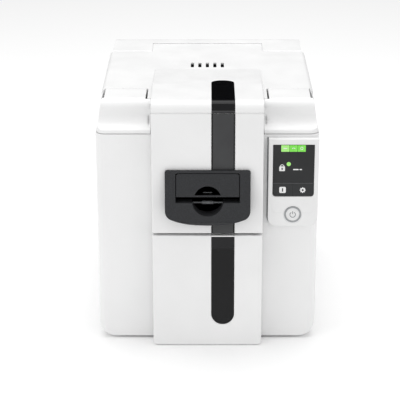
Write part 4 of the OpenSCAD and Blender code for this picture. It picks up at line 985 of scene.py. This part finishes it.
# a fine raised bead round the key area, below the display, open where it meets the display
panel_low, panel_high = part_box("control_panel")
BEAD_IN_MM, BEAD_Z_MM, BEAD_R_MM, BEAD_MM, BEAD_PROUD = 4.3, (149.0, 166.4), 5, 0.5, 0.0002
bead_x0, bead_x1 = panel_low.x / MM + BEAD_IN_MM, panel_high.x / MM - BEAD_IN_MM


def bead_line(inset):
    """Down the left side, round the bottom and up the right side, set in from the bead's outer line."""
    centre_z = BEAD_Z_MM[0] + BEAD_R_MM
    return ([(bead_x0 + inset, BEAD_Z_MM[1])]
            + arc(bead_x0 + BEAD_R_MM, centre_z, BEAD_R_MM - inset, 180, 270, 8)
            + arc(bead_x1 - BEAD_R_MM, centre_z, BEAD_R_MM - inset, 270, 360, 8)
            + [(bead_x1 - inset, BEAD_Z_MM[1])])


flat_inlay("key_area_bead", bead_line(0) + bead_line(BEAD_MM)[::-1], panel_low.y - BEAD_PROUD, BEAD_MM,
           panel_abs, "root")

# Grey strip down the panel's left side and along its foot: a painted shadow in the step between the panel and
# the casing.
painted_shadow = new_material("grey_painted_shadow", "8b8d8f", 0.9)
tint(painted_shadow, 1.5, ("858789", "929496"))
grain(painted_shadow, 1.0, 0.03)
SHADOW_W_MM, SHADOW_DEEP_MM, CORNER_R_MM = 1.1, 0.8, 9
foot_x, foot_z = panel_low.x / MM, panel_low.z / MM
panel_top, foot_end = panel_high.z / MM, panel_high.x / MM - CORNER_R_MM
corner = (foot_x + CORNER_R_MM, foot_z + CORNER_R_MM)
painted_shadow_outline = ([(foot_x - SHADOW_W_MM, panel_top)] + arc(*corner, CORNER_R_MM + SHADOW_W_MM, 180, 270, 8)
                  + [(foot_end, foot_z - SHADOW_W_MM), (foot_end, foot_z)]
                  + arc(*corner, CORNER_R_MM, 270, 180, 8) + [(foot_x, panel_top)])
flat_inlay("panel_painted_shadow", painted_shadow_outline, panel_high.y - SHADOW_DEEP_MM * MM, SHADOW_DEEP_MM + 0.05,
           painted_shadow, "root")

# ABS of the button: white, satin, smoother than the casing.
button_abs = new_material("satin_button_ABS", "e9e9e9", 0.35)
tint(button_abs, 8, ("e6e6e6", "ececec"))
moulded("power_key", "power_button", button_abs, 0.3)

# Ring of grey ABS round it: satin, mid grey.
ring_grey = new_material("satin_grey_ring", "a8aaac", 0.3)
tint(ring_grey, 8, ("a4a6a8", "aeb0b2"))
moulded("power_key_ring", "power_ring", ring_grey, 0.2)

# Pad-printed ink: thin, grey, half dull.
sign_ink = new_material("grey_pad_print", "8c8e90", 0.5)
tint(sign_ink, 2, ("888a8c", "919395"))

# the power sign on the button: an open ring and a bar in its gap
button_low, button_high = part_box("power_button")
button_x, button_z = (button_low.x + button_high.x) / 2 / MM, (button_low.z + button_high.z) / 2 / MM
INK_PROUD, INK_T_MM, BAR_HALF_MM = 0.00008, 0.15, 0.35
sign_ring = arc_band(button_x, button_z - 0.2, 3.3, 2.6, -240, 60, 28)
sign_bar = round_box(button_x - BAR_HALF_MM, button_x + BAR_HALF_MM, button_z + 0.4, button_z + 3.7, 0.3)
for name, outline in (("ring", sign_ring), ("bar", sign_bar)):
    flat_inlay("power_sign_" + name, outline, button_low.y - INK_PROUD, INK_T_MM, sign_ink, "power_button")
